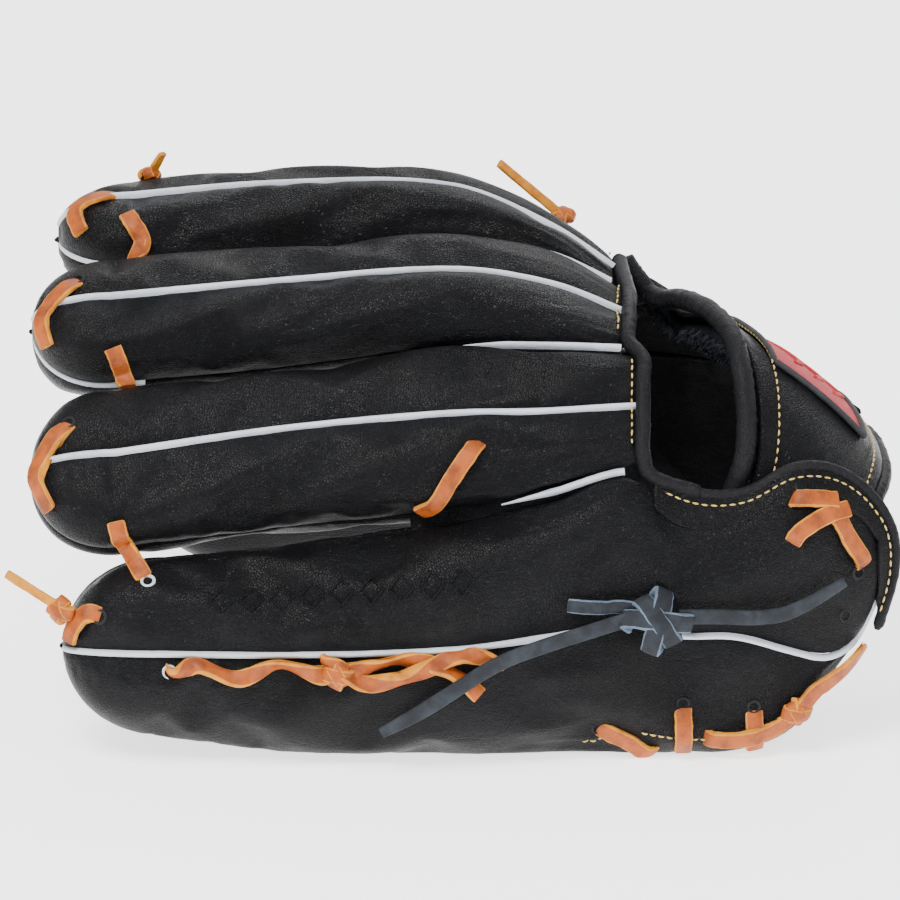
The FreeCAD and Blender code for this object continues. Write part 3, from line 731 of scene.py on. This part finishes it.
def on_strap(along, across, lift=0.0):
    """A place over the strap: along from the flap (0) to the thumb (1), across from hand to wrist edge."""
    values = smooth_table(STRAP_ROWS, along * (len(STRAP_ROWS) - 1))
    a, b, normal = Vector(values[0:3]), Vector(values[3:6]), Vector(values[6:9]).normalized()
    share = max(0.0, min(1.0, across))
    return a + (b - a) * across + normal * (lift + 4 * STRAP_CROWN * share * (1 - share)), normal


def tufts(name, at, count, length=3.0, width=0.9):
    """Short locks of fleece, each a bent cone."""
    mesh = bmesh.new()
    for _ in range(count):
        place, normal = at(random.random(), random.random())
        lean = Vector((random.uniform(-1, 1), random.uniform(-1, 1), random.uniform(-1, 1))) * 0.7
        ahead = (normal + lean).normalized()
        side = ahead.orthogonal().normalized()
        up = ahead.cross(side)
        tall = length * random.uniform(0.6, 1.25)
        wide = width * random.uniform(0.7, 1.2)
        cone = bmesh.ops.create_cone(mesh, segments=5, radius1=1.0, radius2=0.25, depth=1.0, cap_ends=True)
        for vert in cone["verts"]:
            rise = (vert.co.z + 0.5) * tall
            bend = lean * (0.35 * (vert.co.z + 0.5) ** 2 * tall)
            round_it = side * (vert.co.x * wide) + up * (vert.co.y * wide)
            vert.co = to_row(place + round_it + ahead * rise + bend)
    return finish_mesh(name, mesh, FLEECE, "hand", "fleece")


def build_strap():
    def fleece(u, v):
        return on_strap(u, lerp(0.04, 0.97, v), -2.8)[0]

    def tab(u, v):
        return lerp(on_strap(1.0, lerp(0.02, 0.98, v), 1.0)[0], HEEL.point(lerp(62, 138, v), 0.2), u)

    def under(u, v):
        place, normal = on_strap(u, lerp(0.03, 0.99, v), -4.6)
        return place, -normal

    sheet("wrist_strap_skin", lambda u, v: on_strap(u, v, 1.8)[0], 60, 22, 3.4, ["wrist_strap"], 0.8)
    pad = sheet("strap_fleece_pad", fleece, 50, 20, 4.2, ["strap_fleece"], 1.0, FLEECE, slot="fleece")
    sheet("strap_thumb_tab", tab, 12, 26, 3.0)
    tufts("strap_fleece_pile", under, 2600)

    def lips(u, v):
        """Pile that shows past the strap's wrist edge."""
        place, normal = on_strap(u, 1.0, -4.6 + 3.0 * v)
        outward = (on_strap(u, 1.0)[0] - on_strap(u, 0.9)[0]).normalized()
        return place + outward * 0.6, (outward - normal * 0.5).normalized()

    tufts("strap_fleece_lip", lips, 900, 3.4)
    build_patch()
    for name, across in (("inner", 0.13), ("outer", 0.9)):
        stitches(f"strap_{name}_stitches", lambda t, across=across: on_strap(t, across, 4.1), 0.03, 0.97, 3.3)


def build_patch():
    """The strap's patch: red cloth with an embroidered border and a plain ornament, no lettering."""
    start, end, low, high = PATCH_SHARES

    def cloth(u, v):
        return on_strap(lerp(start, end, u), lerp(low, high, v), 4.3)[0]

    sheet("strap_patch_cloth", cloth, 36, 22, 0.9, ["strap_patch"], 0.6, PATCH, slot="red_patch")

    def border(t):
        """Once round the patch, just inside its edge."""
        corners = [(start, low), (end, low), (end, high), (start, high), (start, low)]
        leg = min(int(t * 4), 3)
        (u0, v0), (u1, v1) = corners[leg], corners[leg + 1]
        return on_strap(lerp(u0, u1, t * 4 - leg), lerp(v0, v1, t * 4 - leg), 4.9)

    edge = [border(i / 48)[0] for i in range(49)]
    roll("strap_patch_border", edge, 1.15, [], PATCH_BORDER, "red_patch", 192)
    for k, letter in enumerate("abc"):
        chevron = []
        for i in range(9):
            t = i / 8
            across = 0.36 + 0.13 * k + 0.14 * (1 - abs(2 * t - 1))
            chevron.append(on_strap(lerp(0.49, 0.68, t), across, 4.9)[0])
        roll("patch_chevron_" + letter, chevron, 0.8, [], PATCH, "red_patch", 48)


# ------------------------------------------------------------------ rolls, stitches, laces and holes
def roll(name, points, radius, replaces=(), material=None, slot="binding", count=None, wrinkle=0.06):
    """A rolled edge: a slightly wrinkled round along a smooth line."""
    rows = [(i, list(point)) for i, point in enumerate(points)]
    last = len(points) - 1
    count = count or last * 12

    def place(i, j):
        t = i / count * last
        spot = Vector(smooth_table(rows, t))
        ahead = ahead_of(rows, t, last, 0.05)
        side = ahead.cross(Vector((0.25, -0.55, 0.8))).normalized()
        up = side.cross(ahead).normalized()
        angle = 2 * math.pi * j / 14
        r = radius * (1 + wrinkle * noise.noise(Vector((i * 0.9, hash_of(name), math.cos(angle)))))
        r *= 0.45 if i in (0, count) else 1.0
        return spot + side * (math.cos(angle) * r) + up * (math.sin(angle) * r)

    return finish_mesh(name, capped(grid(count, 14, place)), material or BINDING, "hand", slot, replaces)


def ahead_of(rows, t, last, step):
    """The way a smooth line through the rows runs at t."""
    after, before = smooth_table(rows, min(t + step, last)), smooth_table(rows, max(t - step, 0))
    return (Vector(after[:3]) - Vector(before[:3])).normalized()


def capped(mesh):
    bmesh.ops.holes_fill(mesh, edges=[edge for edge in mesh.edges if edge.is_boundary], sides=0)
    return mesh


def stitches(name, at, start, end, pitch, body="hand"):
    """Stitches of thread, sunk at both ends, along the line that at(t) gives as (place, normal)."""
    mesh = bmesh.new()
    walked, last = 0.0, at(start)[0]
    for k in range(1, SEAM_STEPS):
        t = lerp(start, end, k / SEAM_STEPS)
        here, normal = at(t)
        walked += (here - last).length
        if walked >= pitch:
            stitch(mesh, here, (here - last).normalized(), normal)
            walked = 0.0
        last = here
    return finish_mesh(name, mesh, GOLD, body, "tan_lace")


def stitch(mesh, place, ahead, normal, length=2.4, width=0.7):
    """One stitch, a little out of line, with its ends pulled down into the leather."""
    ahead = (ahead + Vector((random.uniform(-0.08, 0.08), 0, random.uniform(-0.08, 0.08)))).normalized()
    side = ahead.cross(normal).normalized()
    ball = bmesh.ops.create_uvsphere(mesh, u_segments=8, v_segments=6, radius=1.0)
    for vert in ball["verts"]:
        x, y, z = vert.co
        rise = y * width / 2 + 0.3 - 0.4 * z * z
        vert.co = to_row(place + ahead * (z * length / 2) + side * (x * width / 2) + normal * rise)


LACE_SHAPE = [(-0.5, -0.26), (-0.5, 0.26), (-0.44, 0.46), (-0.2, 0.52), (0.2, 0.52), (0.44, 0.46),
              (0.5, 0.26), (0.5, -0.26), (0.44, -0.5), (0.0, -0.52), (-0.44, -0.5)]
GRAIN_SIDE = (2, 3, 4)


def lace(name, stops, body, replaces=(), finishes=None, slot="tan_lace", width=LACE_WIDTH, thick=LACE_THICK,
         turns=None):
    """Flat rawhide lace through stops, each a place and the way its grain side faces.
    turns(t) is an added twist in radians at share t of the lace."""
    rows = [(i, [*place, *normal]) for i, (place, normal) in enumerate(stops)]
    last = len(stops) - 1
    count = last * 10
    sides = len(LACE_SHAPE)

    def place(i, j):
        t = i / count * last
        values = smooth_table(rows, t)
        spot, normal = Vector(values[:3]), Vector(values[3:])
        ahead = ahead_of(rows, t, last, 0.04)
        if turns:
            normal = Matrix.Rotation(turns(i / count), 3, ahead) @ normal
        side = ahead.cross(normal).normalized()
        up = side.cross(ahead)
        a, b = LACE_SHAPE[j % sides]
        ragged = 1 + 0.09 * noise.noise(Vector((i * 0.31, hash_of(name), a * 3)))
        fuzz = 0.12 * noise.noise(Vector((i * 1.7, j * 2.3, hash_of(name))))
        return spot + side * (a * width * ragged + fuzz) + up * (b * thick + fuzz)

    mesh = bmesh.new()
    bmesh.ops.create_grid(mesh, x_segments=count, y_segments=sides, size=1.0)
    for face in mesh.faces:
        middle = face.calc_center_median()
        face.material_index = 0 if int((middle.y + 1) / 2 * sides) in GRAIN_SIDE else 1
    for vert in mesh.verts:
        i = round((vert.co.x + 1) / 2 * count)
        j = round((vert.co.y + 1) / 2 * sides)
        vert.co = to_row(place(i, j))
    bmesh.ops.remove_doubles(mesh, verts=mesh.verts, dist=0.01 * MM)
    piece = finish_mesh(name, capped(mesh), finishes or [TAN, TAN_EDGE], body, slot, replaces)
    modifier(piece, "SUBSURF", levels=1, render_levels=1)
    return piece


def hole(name, place, normal, body, radius=2.0, chalk=False):
    """A punched lace hole: a dark dimple with a raised lip."""
    mesh = bmesh.new()
    side = normal.orthogonal().normalized()
    up = normal.cross(side)
    rings = []
    for reach, rise in ((1.45, -0.2), (1.2, 0.5), (1.0, 0.35), (0.8, -0.5), (0.15, -0.9)):
        ring = bmesh.ops.create_circle(mesh, segments=20, radius=1.0)["verts"]
        for k, vert in enumerate(ring):
            angle = 2 * math.pi * k / 20
            outward = side * math.cos(angle) + up * math.sin(angle)
            vert.co = to_row(place + outward * (radius * reach) + normal * rise)
        rings.append(ring)
    for inner, outer in zip(rings, rings[1:]):
        pair = set(inner) | set(outer)
        edges = [edge for edge in mesh.edges if edge.verts[0] in pair and edge.verts[1] in pair
                 and (edge.verts[0] in inner) == (edge.verts[1] in inner)]
        bmesh.ops.bridge_loops(mesh, edges=edges)
    finish, slot = (WELT, "white_welt") if chalk else (HOLE, "black_leather")
    return finish_mesh(name, mesh, finish, body, slot)


# ------------------------------------------------------------------ bindings and short welts
def build_bindings():
    """The rolled edges of the hand opening, the strap and the flap, with their stitches."""
    opening = []
    for name, low, high in (("index", 0.35, 0.98), ("middle", -0.9, 0.9), ("ring", -0.9, 0.9)):
        end = BACK_END[name] + 1.5
        opening += [STALLS[name].on(end, lerp(high, low, i / 4), 0.8)[0] for i in range(5)]
    opening += [Vector(point) for point in FLAP_EDGE[0:2]]
    hand_side = [on_strap(i / 12, -0.11, 2.2)[0] for i in range(13)]
    wrist_side = [on_strap(i / 12, 1.04, 0.8)[0] for i in range(13)]
    flap = [Vector(point) for point in FLAP_EDGE]
    roll("hand_opening_roll", opening, 2.7, ["hand_opening_binding"], wrinkle=0.14)
    roll("strap_hand_roll", hand_side, 3.7, ["strap_hand_binding"], wrinkle=0.14)
    roll("strap_wrist_roll", wrist_side, 2.8, ["strap_wrist_binding"], wrinkle=0.14)
    roll("flap_roll", flap, 2.0, ["flap_binding"], wrinkle=0.14)
    pinky = STALLS["pinky"]
    edge = [(i, list(point)) for i, point in enumerate(FLAP_EDGE)]

    last = len(FLAP_EDGE) - 1

    def facing(u, v):
        """The leather from the little finger's wall out to the flap's roll."""
        high = Vector(smooth_table(edge, last * u))
        low = pinky.point(min(high.x, 149.5), lerp(math.pi - 0.45, 0.4, max(0.0, (u - 0.7) / 0.3)))
        return lerp(low, high, v)

    sheet("flap_facing_skin", facing, 56, 10, 2.0, full=0.3)
    outward = Vector((0.1, -0.95, 0.25)).normalized()
    stitches("flap_stitches", lambda t: (facing(t, 0.72) + outward * 1.3, outward), 0.02, 0.98, 3.2)
    for name, low, high in (("index", 0.3, 0.9), ("middle", -0.8, 0.85), ("ring", -0.8, 0.85)):
        end = BACK_END[name] - 2.4
        stitches(name + "_opening_stitches", lambda t, name=name, end=end: STALLS[name].on(end, t, 0.5),
                 low, high, 3.3)


def build_short_welts():
    """Pale welts standing in the seams between stalls, near the hand opening."""
    for name, below, above, start, end in (("ring_pinky_welt", "pinky", "ring", 18.0, 61.0),
                                           ("middle_ring_welt", "ring", "middle", 2.0, 60.0),
                                           ("index_middle_welt", "middle", "index", 6.0, 57.0)):
        def seam(x, below=STALLS[below], above=STALLS[above]):
            return (below.point(x, math.pi) + above.point(x, 0.0)) * 0.5

        def up(x, below=STALLS[below], above=STALLS[above]):
            return (below.section(x)[3] + above.section(x)[3]).normalized()

        welt_along(name + "_strip", lambda x, seam=seam, up=up: seam(x) + up(x) * 4.4, up, start, end, 60,
                   "hand", [name], 2.6, 0.9, 22.0)

        def bridge(u, v, below=STALLS[below], above=STALLS[above], end=end):
            x = lerp(-14.0, end, u)
            across = lerp(below.point(x, math.pi, 2.2), above.point(x, 0.0, 2.2), v)
            return across - below.section(x)[3] * 1.2

        sheet(name + "_bridge", bridge, 40, 10, 1.6, full=0.3)


# ------------------------------------------------------------------ web
def web_frame():
    start, end = Vector(WEB_HINGE[0]), Vector(WEB_HINGE[1])
    along = (end - start).normalized()
    down = Vector((0, 25, -63))
    down = (down - along * down.dot(along)).normalized()
    return start, along, down, along.cross(down)


def on_web(x, t, lift=0.0):
    """A place on the web: x along the index finger, t down toward the thumb."""
    start, along, down, normal = web_frame()
    return start + along * x + down * t + normal * lift, normal


def plate(name, x0, x1, t0, t1, replaces):
    """A web plate: two leathers stitched back to back, with rounded rims."""
    def place(u, v):
        corner = 3.0 * (1 - math.sqrt(max(1 - (max(0.0, abs(2 * u - 1) * 8 - 7)) ** 2, 0.0)))
        return on_web(lerp(x0, x1, u), lerp(t0 + corner, t1 - corner, v))[0]

    long_way = 60 if x1 - x0 > 60 else 26
    sheet(name + "_skin", place, long_way, 16, 4.0, replaces, 0.5, body="web")
    for side, lift in (("front", 2.1), ("back", -2.1)):
        for row, t in (("upper", t0 + 2.4), ("lower", t1 - 2.4)):
            def seam(x, t=t, lift=lift):
                here, normal = on_web(x, t, lift)
                return here, normal if lift > 0 else -normal

            stitches(f"{name}_{side}_{row}_stitches", seam, x0 + 4, x1 - 4, 3.3, "web")


def build_web():
    plate("web_index_post", 0, 104, 3, 18, ["web_index_post"])
    plate("web_crossbar", 34, 66, 18.4, 31.6, ["web_crossbar"])
    plate("web_thumb_post", 0, 104, 32, 47, ["web_thumb_post"])
    zigzag = [(6, -9), (16, 4), (28, -8), (40, 4), (52, -8), (64, 4), (76, -8), (88, 4), (98, -6)]
    lace("web_index_lacing", [on_web(x, t, 4.4) for x, t in zigzag], "web", ["web_index_lace"])
    zigzag = [(6, 44), (16, 55), (28, 44), (40, 54), (52, 44), (64, 54), (76, 44), (88, 54)]
    lace("web_thumb_lacing", [on_web(x, t, 4.4) for x, t in zigzag], "web", ["web_thumb_lace"])
    for x in (20, 50, 80):
        side = [on_web(x - 5, 16, 2.6), on_web(x, 22, 3.6), on_web(x, 28, 3.6), on_web(x + 5, 34, 2.6)]
        lace(f"web_cross_lace_{x}", side, "web")


# ------------------------------------------------------------------ laces on the backs
def over(name, *stops):
    """Stops over a stall's back, from (x, u, lift)."""
    return [STALLS[name].on(*stop) for stop in stops]


def build_laces():
    tips = {
        "index": [(-117, 0.14, -1.4), (-122.5, 0.0, 1.5), (-129, -0.2, 1.9), (-131.5, -0.5, 2.0),
                  (-129, -0.85, 1.2)],
        "middle": [(-130, 0.36, -1.4), (-135, 0.18, 1.5), (-140.5, -0.12, 2.0), (-142, -0.5, 2.2),
                   (-140, -0.86, 1.2)],
        "ring": [(-132.5, 0.5, -1.4), (-137.7, 0.33, 1.5), (-142.8, 0.0, 2.0), (-143.6, -0.45, 2.2),
                 (-139, -0.84, 1.2)],
        "pinky": [(-121, 0.5, -1.4), (-126, 0.6, 1.4), (-130.5, 0.45, 2.0), (-132, 0.2, 2.0)],
    }
    for name, stops in tips.items():
        lace(name + "_tip_loop", over(name, *stops), "hand", ["fingertip_laces"] if name == "pinky" else [])
        x, u, lift = stops[0]
        hole(name + "_tip_hole", *STALLS[name].on(x - 1, u, 0.0), "hand")
    ties = {
        "index": ("middle", [(-114, -0.62, 1.4), (-111.5, -0.78, 2.0), (-108.5, -0.93, 1.6)],
                  (-112, 0.96, 0.4)),
        "middle": ("ring", [(-118.5, -0.78, 1.4), (-116.5, -0.9, 2.0), (-115, -0.97, 1.6)],
                   (-113, 0.97, 0.4)),
        "ring": ("pinky", [(-117, -0.8, 1.2), (-115.8, -0.92, 2.0), (-113.7, -0.98, 1.8)],
                 (-106.5, 0.82, 0.4)),
    }
    for name, (below, stops, landing) in ties.items():
        path = over(name, *stops) + over(below, landing)
        lace(f"{name}_{below}_tie", path, "hand", ["finger_ties"] if name == "ring" else [])
    hole("pinky_tie_hole", *STALLS["pinky"].on(-105.5, 0.8, 0.1), "hand", 1.9, chalk=True)
    wrap = over("ring", (10, -0.36, -1.2), (6.4, -0.55, 1.8), (0.7, -0.77, 2.1), (-5, -0.94, 1.8),
                (-11, -0.99, 1.2))
    lace("ring_wrap_lace", wrap, "hand", ["ring_lace"])
    build_side_loops()
    build_heel_laces()
    build_free_knots()


def stub(name, body, place, ahead, normal, length, width=3.4):
    """A short cut end of lace that sticks out of a knot."""
    ahead = ahead.normalized()
    stops = []
    for i in range(4):
        stops.append((place + ahead * (length * i / 3), normal))
    lace(name, stops, body, finishes=[TAN_EDGE, TAN_EDGE], turns=lambda t: 0.9 * t, width=width, thick=1.8)


def build_free_knots():
    """The knotted ends past the little finger's tip, behind the index finger's tip and over the web."""
    pinky, index = STALLS["pinky"], STALLS["index"]
    place, normal = pinky.on(-131.5, 0.72, 2.6)
    facing = Vector((-0.55, -0.8, 0.2)).normalized()
    knot("pinky_tip_knot", place + Vector((-2.0, -1.0, 3.0)), facing, "hand", size=0.95)
    stub("pinky_tip_tail", "hand", place + Vector((-4, -1, 5)), Vector((-1.0, -0.05, 0.7)), facing, 21.0)
    place, normal = index.on(-106, 0.8, 2.0)
    knot("index_tip_knot", place, normal, "hand", size=0.75)
    stub("index_tip_tail", "hand", place, Vector((0.5, -0.3, 1.0)), Vector((0, -1, 0)), 11.0)
    place = Vector((40, 150, 147))
    knot("saddle_end_knot", place, Vector((0.1, -0.3, 0.95)), "hand", size=0.8)
    stub("saddle_end_tail", "hand", place, Vector((-0.75, 0.0, 0.66)), Vector((0, -1, 0.2)), 31.0)


def build_tip_welts():
    """Pale welts in the palm-side seam of the index and middle finger tips."""
    for name, length in (("index", 26), ("middle", 40)):
        stall = STALLS[name]
        welt_along(name + "_palm_side_welt", lambda x, stall=stall: stall.point(x, 0.0),
                   lambda x, stall=stall: -stall.section(x)[2], TIP[name] + 0.3, TIP[name] + length, 50,
                   "hand", (), 2.2, 0.5)


def build_emboss():
    """A blind-pressed ornament along the little finger: lozenges, no lettering."""
    pinky = STALLS["pinky"]
    for k in range(9):
        x = -84 + 10.5 * k
        corners = [(x, 0.55), (x + 4.2, 0.66), (x + 8.4, 0.55), (x + 4.2, 0.44), (x, 0.55)]
        points = []
        for a, b in zip(corners, corners[1:]):
            points += [pinky.on(lerp(a[0], b[0], i / 4), lerp(a[1], b[1], i / 4), 0.2)[0] for i in range(4)]
        roll(f"emboss_lozenge_{k + 1}", points + points[:1], 0.42, [], BLACK, "black_leather", 48, 0.0)


def build_side_loops():
    """The long twisted laces along the outside of the little finger and the thumb."""
    stops = over("pinky", (-99, -0.2, -1.5), (-95, -0.2, 1.6), (-88.2, -0.1, 2.2), (-74.1, -0.22, 2.4),
                 (-60, -0.08, 2.4), (-45.9, -0.18, 2.4), (-38.8, -0.18, 3.2), (-28.2, -0.1, 2.4),
                 (-14.1, -0.05, 2.4), (0, -0.17, 2.4), (10.6, -0.38, 2.6))
    lace("pinky_loop_strand", stops, "hand", ["pinky_loop_lace"], turns=lambda t: 1.1 * math.sin(t * 19))
    stops = over("pinky", (-45, -0.02, 2.6), (-38.8, -0.1, 5.0), (-30, -0.24, 2.8), (-15, -0.2, 3.2),
                 (0, -0.06, 3.0), (10, -0.06, 2.6), (19.4, -0.16, 2.4))
    lace("pinky_loop_return", stops, "hand", turns=lambda t: 1.0 * math.sin(t * 14 + 1))
    knot("pinky_loop_knot", *STALLS["pinky"].on(-38.8, -0.17, 3.0), "hand")
    hole("pinky_loop_hole", *STALLS["pinky"].on(-98, -0.2, 0.1), "hand", 1.9, chalk=True)
    stops = over("thumb", (-73, 0.2, -1.5), (-70, 0.2, 1.6), (-48, 0.14, 2.4), (-26, 0.2, 2.4),
                 (-4, 0.14, 2.4), (18, 0.22, 2.0), (22, 0.24, -1.2))
    lace("thumb_loop_strand", stops, "thumb", ["thumb_loop_lace"], turns=lambda t: 1.0 * math.sin(t * 12))
    hole("thumb_loop_hole", *STALLS["thumb"].on(-72, 0.2, 0.1), "thumb", 1.9)


def knot(name, place, normal, body, finishes=None, slot="tan_lace", replaces=(), size=1.0):
    """An overhand knot pulled tight: one lace wrapped round another."""
    side = normal.orthogonal().normalized()
    up = normal.cross(side)
    for k, (tilt, reach) in enumerate(((0.35, 4.2), (2.1, 4.6), (1.2, 3.6))):
        ahead = side * math.cos(tilt) + up * math.sin(tilt)
        across = normal.cross(ahead)
        stops = []
        for i in range(7):
            angle = math.pi * (i / 6 - 0.5) * 1.5
            rise = math.cos(angle) * 2.9 * min(size, 1.5) + 0.2 * k
            out = normal * rise + ahead * (math.sin(angle) * reach * size)
            stops.append((place + out + across * ((i / 6 - 0.5) * 2.2 * size), out.normalized()))
        lace(f"{name}_{'abc'[k]}", stops, body, replaces if k == 0 else [], finishes, slot,
             width=min(5.0 * size, 7.0), thick=1.9 * min(size, 1.3))


def build_heel_laces():
    runs = [
        [(52, -0.78, -1.0), (56, -0.8, 1.8), (62, -0.86, 2.3), (68, -0.93, 1.8), (72, -0.95, -0.6)],
        [(81.5, -0.56, -1.0), (81.5, -0.66, 1.9), (81.5, -0.8, 2.3), (81.5, -0.95, 1.4)],
        [(106.3, -0.66, -1.0), (106.3, -0.76, 1.9), (106.3, -0.88, 2.2), (106.3, -0.97, 1.2)],
        [(89, -0.8, -1.0), (93, -0.81, 1.9), (104, -0.83, 3.9), (113, -0.86, 2.2), (119, -0.87, 1.6)],
        [(121, -0.84, 3.0), (126, -0.78, 3.2), (131, -0.86, 3.4), (137, -0.94, 3.8), (143, -0.985, 4.0)],
    ]
    for k, stops in enumerate(runs):
        lace("heel_lace_" + "abcde"[k], over("pinky", *stops), "hand", ["heel_lace"] if k == 0 else [])
    knot("heel_lace_knot", *STALLS["pinky"].on(121, -0.84, 1.6), "hand")
    flap = [
        [(119.5, 0.96, -0.6), (122, 0.94, 1.9), (129, 0.93, 2.2), (135, 0.95, 1.8)],
        [(119.5, 0.62, -1.0), (122.5, 0.7, 1.9), (131, 0.8, 2.2), (139, 0.93, 1.8)],
        [(133, 0.84, 1.0), (136, 0.76, 2.1), (140, 0.55, 2.2), (143.7, 0.33, 1.6), (145, 0.2, -1.0)],
    ]
    for k, stops in enumerate(flap):
        lace("flap_lace_" + "abc"[k], over("pinky", *stops), "hand", ["flap_lace"] if k == 0 else [])
    for k, (x, u) in enumerate(((138.4, -0.38), (143, 0.1), (52, -0.78), (81.5, -0.52), (106.3, -0.62))):
        hole("wall_hole_" + "abcde"[k], *STALLS["pinky"].on(x, u, 0.1), "hand", 1.8)
    pinky = STALLS["pinky"]
    for letter, x0, u0, x1, u1 in (("a", 44.8, -0.92, 53.3, -0.85), ("b", 65, -0.77, 90.7, -0.82)):
        def seam(t, x0=x0, u0=u0, x1=x1, u1=u1):
            return pinky.on(lerp(x0, x1, t), lerp(u0, u1, t), 0.3)

        stitches("heel_stitches_" + letter, seam, 0.0, 1.0, 3.0)


# ------------------------------------------------------------------ the wrist lace and its free tails
def free_tail(which, node):
    """A flat tail of dark lace that hangs free from the wrist knot, along the part's own points."""
    points = [to_row(point) for point in WRIST_TAILS[which]]
    curve = bpy.data.curves.new(node + "_cord", "CURVE")
    curve.dimensions = "3D"
    line = curve.splines.new("NURBS")
    line.points.add(len(points) - 1)
    for point, control in zip(line.points, points):
        point.co = (*control, 1.0)
    line.points[-1].radius = 0.7
    line.order_u = 3
    line.use_endpoint_u = True
    curve.resolution_u = 8
    curve.twist_mode = "Z_UP"
    curve.bevel_mode = "ROUND"
    curve.bevel_depth = 0.8 * MM
    curve.bevel_resolution = 2
    curve.extrude = (TAIL_WIDTH / 2 - 0.8) * MM
    curve.use_fill_caps = True
    curve.materials.append(DARK_LACE)
    tail = bpy.data.objects.new(node + "_tail", curve)
    bpy.context.scene.collection.objects.link(tail)
    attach(tail, "hand")
    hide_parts(node)
    return tail


def build_wrist_lace():
    free_tail("front", "wrist_lace_front")
    free_tail("rear", "wrist_lace_rear")
    dark = [DARK_LACE, DARK_EDGE]
    facing = Vector((0.1, -0.93, 0.35)).normalized()
    middle = Vector(WRIST_KNOT) - facing * 2.0
    knot("wrist_knot_wrap", middle, facing, "hand", dark, "black_lace", ["wrist_knot"], 2.5)
    short = over("pinky", (68, 0.16, 5.6), (60, 0.15, 5.2), (52.9, 0.16, 4.6), (46, 0.2, 3.8),
                 (40.6, 0.24, 3.2))
    lace("wrist_short_tail", short, "hand", [], dark, "black_lace", 5.0, 1.8)


# ------------------------------------------------------------------ camera, floor and light
def build_stage():
    mesh = bmesh.new()
    bmesh.ops.create_grid(mesh, x_segments=2, y_segments=2, size=6.0)
    paper = Finish("white paper sweep", Roughness=0.9, Emission_Strength=1.9)
    paper.set(Base_Color=(0.95, 0.95, 0.95, 1), Emission_Color=(1.0, 1.0, 1.0, 1))
    floor = finish_mesh("floor", mesh, paper.material, None, None)
    data = bpy.data.cameras.new("camera")
    data.sensor_width = 36.0
    data.clip_end = 50.0
    distance = 9.0
    data.lens = 36.0 * distance / 0.3177
    camera = bpy.data.objects.new("camera", data)
    tilt = math.radians(20.0)
    target = Vector((-ORIGIN.x * MM, 0.0, 0.0766))
    camera.location = target - Vector((0, math.cos(tilt), -math.sin(tilt))) * distance
    camera.rotation_euler = (math.pi / 2 - tilt, 0.0, 0.0)
    bpy.context.scene.collection.objects.link(camera)
    bpy.context.scene.camera = camera
    for name, where, size, power, colour in (
            ("key", (-0.5, -0.7, 1.5), 0.8, 36.0, (1.0, 0.98, 0.95)),
            ("fill", (1.3, -1.2, 0.8), 1.2, 10.0, (0.95, 0.97, 1.0)),
            ("rim", (0.3, 1.4, 1.2), 1.0, 18.0, (1.0, 1.0, 1.0))):
        light = bpy.data.lights.new(name, "AREA")
        light.size, light.energy, light.color = size, power, colour
        lamp = bpy.data.objects.new(name, light)
        lamp.location = where
        lamp.rotation_euler = (Vector((0, 0, 0.06)) - Vector(where)).to_track_quat("-Z", "Y").to_euler()
        bpy.context.scene.collection.objects.link(lamp)
    world = bpy.data.worlds.new("studio")
    world.use_nodes = True
    world.node_tree.nodes["Background"].inputs[0].default_value = (0.96, 0.97, 1.0, 1)
    world.node_tree.nodes["Background"].inputs[1].default_value = 0.7
    bpy.context.scene.world = world


for name in ("pinky", "ring", "middle", "index"):
    build_stall_backs(name, name + "_back_outer", name + "_back_inner", "hand")
    build_stall_front(name, "hand", 5.0)
build_stall_backs("thumb", "thumb_back_inner", "thumb_back_outer", "thumb")
build_stall_front("thumb", "thumb", 53.0)
build_heel_wall()
build_palm()
build_saddle()
build_strap()
build_bindings()
build_short_welts()
build_web()
build_laces()
build_wrist_lace()
build_tip_welts()
build_emboss()
build_stage()
